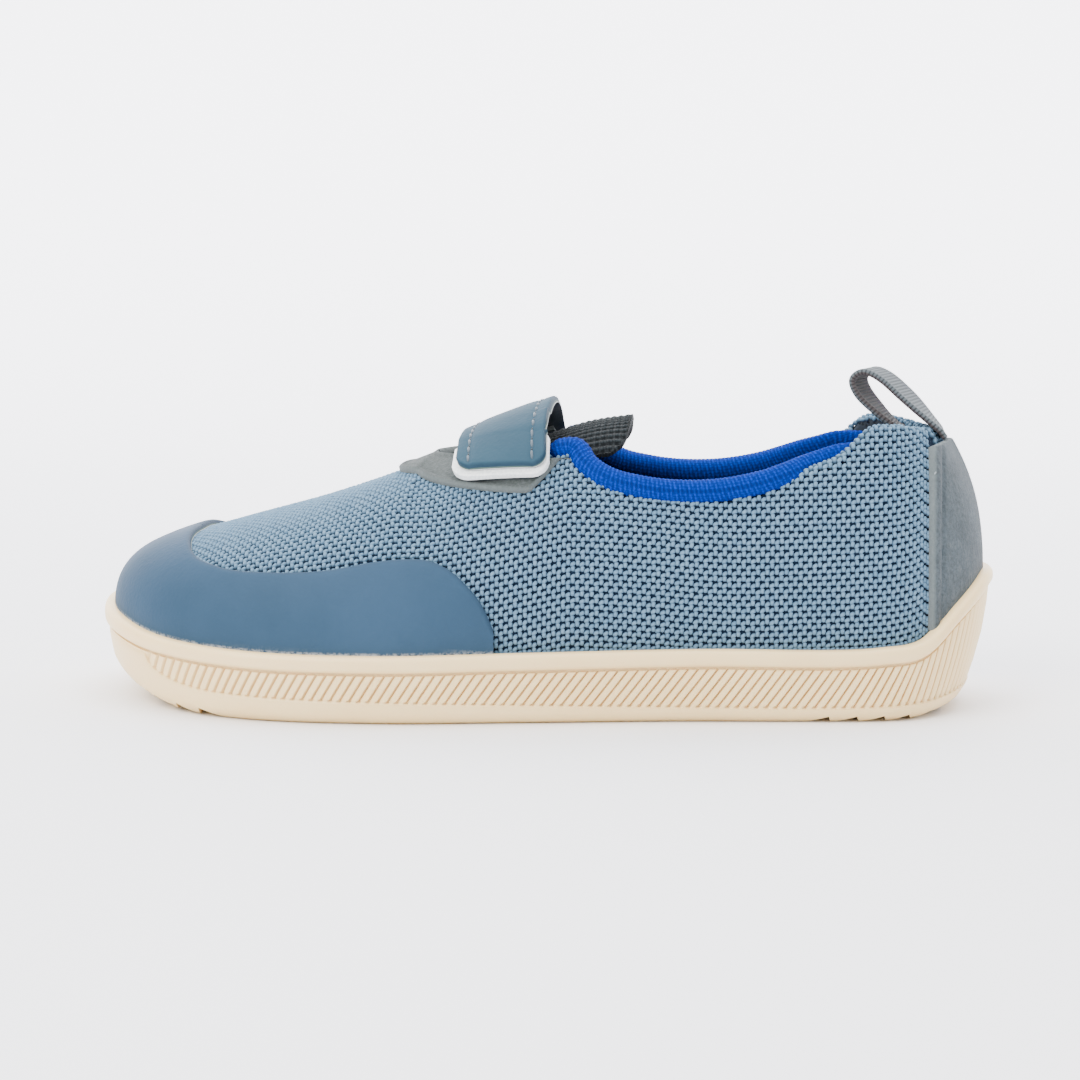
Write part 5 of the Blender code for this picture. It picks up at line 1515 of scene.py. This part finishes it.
def make_fastener():
    """White touch-fastener patch under the strap's free end, showing a narrow margin round it."""
    width = STRAP_WIDTH + PATCH_MARGIN
    sheet, length = band_sheet(PATCH_MARGIN, 0)
    row, column = rounded_patch(width, length, 0, STRAP_REACH + PATCH_MARGIN, PATCH_CORNER, (24, 20))
    base = read_grid(sheet, row, column)
    normal = normals_of(base)
    out = normal * np.where(normal[..., 2:] < 0, -1, 1)
    round_off = np.sqrt(1 - (1 - np.clip(from_border(base) / (0.35 * MM), 0, 1)) ** 2)
    under = -(PATCH_THICKNESS + CLEARANCE)
    outer = base + out * (-0.2 * MM - 0.25 * MM * (1 - round_off))[..., None]
    inner = base + out * under
    patch = sheet_solid("fastener_tape", outer, inner, hook_tape(), 60)
    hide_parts("fastener_patch")


def make_insole():
    """Footbed with a softly raised rim and a fine twill."""
    t = stations(0, 1, spacing=0.01)[1:-1]
    shares = np.concatenate([[-1, -0.985, -0.95], np.linspace(-0.9, 0.9, 25), [0.95, 0.985, 1]])

    def row(part, inset, height):
        left = raised(plan(-part, inset), height)
        right = raised(plan(part, inset), height)
        mix = ((shares + 1) / 2)[None, :, None]
        return left[:, None] * (1 - mix) + right[:, None] * mix

    inset = foot_inset(t) + UPPER_WALL + 0.2 * MM
    floor = floor_height(t)
    top = row(t, inset, floor + INSOLE_THICKNESS)
    cup = 0.5 * MM * np.abs(shares) ** 6 - 0.5 * MM * (np.abs(shares) > 0.97)
    top[..., 2] += cup[None, :]
    bottom = row(t, inset + 0.2 * MM, floor + CLEARANCE)
    bed = sheet_solid("footbed_cloth", top, bottom, footbed(), 60)
    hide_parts("insole")


def make_pull_loop():
    """Open loop of ribbed webbing at the heel."""
    heel = np.array([0.0])
    bow = LOOP_WIDTH**2 / (2 * COLLAR_WIDTH)
    outside = 0.3 * MM - LOOP_THICKNESS / 2
    inside = UPPER_WALL + LINING_THICKNESS + 2 * CLEARANCE + bow + LOOP_THICKNESS / 2

    def heel_point(drop, depth):
        return skin(heel, level_below(heel, drop), depth)[0]

    foot, edge = heel_point(COUNTER_TOP_DROP - 3 * CLEARANCE, outside), heel_point(0, outside)
    inner, inner_edge = heel_point(5 * MM, inside), heel_point(1.5 * MM, inside)
    middle = (edge + inner_edge) / 2
    lean = np.array([-math.cos(LOOP_LEAN), 0, math.sin(LOOP_LEAN)])
    rise = np.array([math.sin(LOOP_LEAN), 0, math.cos(LOOP_LEAN)])
    route = [foot, (foot + edge) / 2, edge]
    route += [middle + lean * reach * LOOP_LENGTH + rise * height * LOOP_OPENING for reach, height in LOOP]
    route += [inner_edge, inner]
    route = np.array(route)
    coarse = curve_through(np.arange(len(route)), route, np.linspace(0, len(route) - 1, 300))
    arc = distance_along(coarse)
    at = np.arange(0, arc[-1], WEB_RIB / 6)
    line = np.stack([np.interp(at, arc, coarse[:, k]) for k in range(3)], -1)
    along = unit(np.gradient(line, axis=0))
    side = unit(np.cross(np.array([0, 1, 0]), along))
    shares = edge_shares(LOOP_WIDTH, 16, 1.2 * MM) * 2 - 1
    y = shares * LOOP_WIDTH / 2
    from_edge = LOOP_WIDTH / 2 - np.abs(y)
    thick = LOOP_THICKNESS / 2 * np.sqrt(1 - (1 - np.clip(from_edge / (0.65 * MM), 0.02, 1)) ** 2)
    wave = np.cos(2 * math.pi * at / WEB_RIB)
    inner_part = ease((from_edge - 0.7 * MM) / (0.5 * MM))
    fleck = np.clip(1.5 - from_edge / (0.5 * MM), 0, 1) * ease(wave * 1.4 - 0.1)[:, None]
    cross = (WEB_RELIEF * wave[:, None] - WEB_SINK) * inner_part
    turn = LOOP_TURN * ease((line[:, 2] - edge[2] + TURN_START) / TURN_RUN)
    sine, cosine = np.sin(turn), np.cos(turn)
    across = y[None, :, None] * np.stack([sine, cosine, 0 * turn], -1)[:, None]
    side = np.stack([side[:, 0] * cosine, -side[:, 0] * sine, side[:, 2]], -1)
    outer = line[:, None] + side[:, None] * (thick + cross * 0.6)[..., None] + across
    inner_face = line[:, None] - side[:, None] * (thick + cross)[..., None] + across
    # crown is low in the grooves between the cross ribs, where the webbing paints shade.
    crown = 1 - (1 - (wave[:, None] + 1) / 2) * (0.25 + 0.75 * inner_part)
    loop = sheet_solid("webbing_loop", outer, inner_face, webbing(), 70, rise=crown, fleck=fleck)
    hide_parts("pull_loop")


def make_counter_tack():
    """Three short stitches on either side that tack down the top of the counter's turned edge."""
    centres, longs, shorts, highs = [], [], [], []
    top = counter_top()
    for side in (-1.0, 1.0):
        level = top - np.array(TACK_DROPS)
        t = solve(lambda s: -surface(side * s, level)[..., 0], COUNTER_FRONT - SOLE_LENGTH / 2 + 0 * level,
                  np.zeros_like(level), 0.4)
        ring = side * (t - TACK_INSET + TACK_STEP * np.arange(3))
        here = skin(ring, level, -(OVERLAY_LIFT + COUNTER_THICKNESS - 0.05 * MM))
        out = outward(ring, level)
        direction = unit(skin(ring - side * TACK_STEP, level + 0.01, 0) - skin(ring, level, 0))
        centres.append(here)
        longs.append(direction * 0.75 * MM)
        shorts.append(np.cross(out, direction) * 0.17 * MM)
        highs.append(out * 0.2 * MM)
    places = [np.concatenate(part) for part in (centres, longs, shorts, highs)]
    tone = np.full(len(places[0]), 0.5)
    tack = tufts("counter_tack", places, thread("counter_thread", "#8b9498"), tone)


# Studio

BACKDROP_GLOW = 3.6
WORLD_LIGHT = 1.7


def make_studio():
    """White paper sweep, bright at the back, with a soft key light from the upper left and a broad top
    light."""
    profile = [(-3.0, 0.0), (0.0, 0.0), (0.5, 0.0)]
    profile += [(0.5 + 0.7 * math.sin(a), 0.7 * (1 - math.cos(a))) for a in np.radians(np.arange(6, 91, 6))]
    profile += [(1.2, 2.2)]
    points = np.array([[(x, y, z) for x in (-3.0, 3.0)] for y, z in profile])
    glow = ease((points[..., 1] - 0.15) / 0.9)
    faces = grid_faces(len(profile), 2)
    f = Finish("studio_paper", 0.8, Specular_IOR_Level=0.1)
    f.shader.inputs["Base Color"].default_value = colour("#f1f1f4")
    f.shader.inputs["Emission Color"].default_value = colour("#f2f2f8")
    f.tree.links.new(f.maths("MULTIPLY", f.mark("glow"), BACKDROP_GLOW), f.shader.inputs["Emission Strength"])
    paper = finish_mesh("studio_paper", points, faces, f.material, 180, closed=False, weld=False,
                        part=False, glow=glow)
    world = bpy.data.worlds.new("studio")
    bpy.context.scene.world = world
    world.use_nodes = True
    world.node_tree.nodes["Background"].inputs[0].default_value = colour("#f3f4f8")
    world.node_tree.nodes["Background"].inputs[1].default_value = WORLD_LIGHT

    def lamp(name, place, aim, size, power, tint):
        light = bpy.data.lights.new(name, "AREA")
        light.shape = "RECTANGLE"
        light.size, light.size_y = size
        light.energy = power
        light.color = colour(tint)[:3]
        holder = bpy.data.objects.new(name, light)
        holder.location = place
        holder.rotation_euler = (Vector(aim) - Vector(place)).to_track_quat("-Z", "Y").to_euler()
        bpy.context.scene.collection.objects.link(holder)

    lamp("key", (-0.5, -0.7, 0.75), (0, 0, 0.03), (0.6, 0.6), 16.0, "#fffdf8")
    lamp("top", (0.0, 0.1, 0.9), (0, 0, 0), (1.0, 0.8), 14.0, "#ffffff")


def make_camera():
    """Low side view of the shoe, as in the photograph, with the toe to the left."""
    azimuth, elevation = math.radians(5), math.radians(7)
    target = Vector((0.0, 0.0, 0.034))
    toward = Vector((math.sin(azimuth) * math.cos(elevation), -math.cos(azimuth) * math.cos(elevation),
                     math.sin(elevation)))
    camera = bpy.data.objects.new("camera", bpy.data.cameras.new("camera"))
    camera.data.lens = 85
    camera.data.clip_start = 0.01
    camera.location = target + toward * 0.555
    camera.rotation_euler = (-toward).to_track_quat("-Z", "Y").to_euler()
    bpy.context.scene.collection.objects.link(camera)
    bpy.context.scene.camera = camera


make_camera()
make_studio()
make_outsole()
make_ground()
make_knit()
make_toe_guard()
make_heel_counter()
make_counter_tack()
make_eyestay()
make_collar_roll()
make_tongue()
make_strap()
make_fastener()
make_insole()
make_pull_loop()
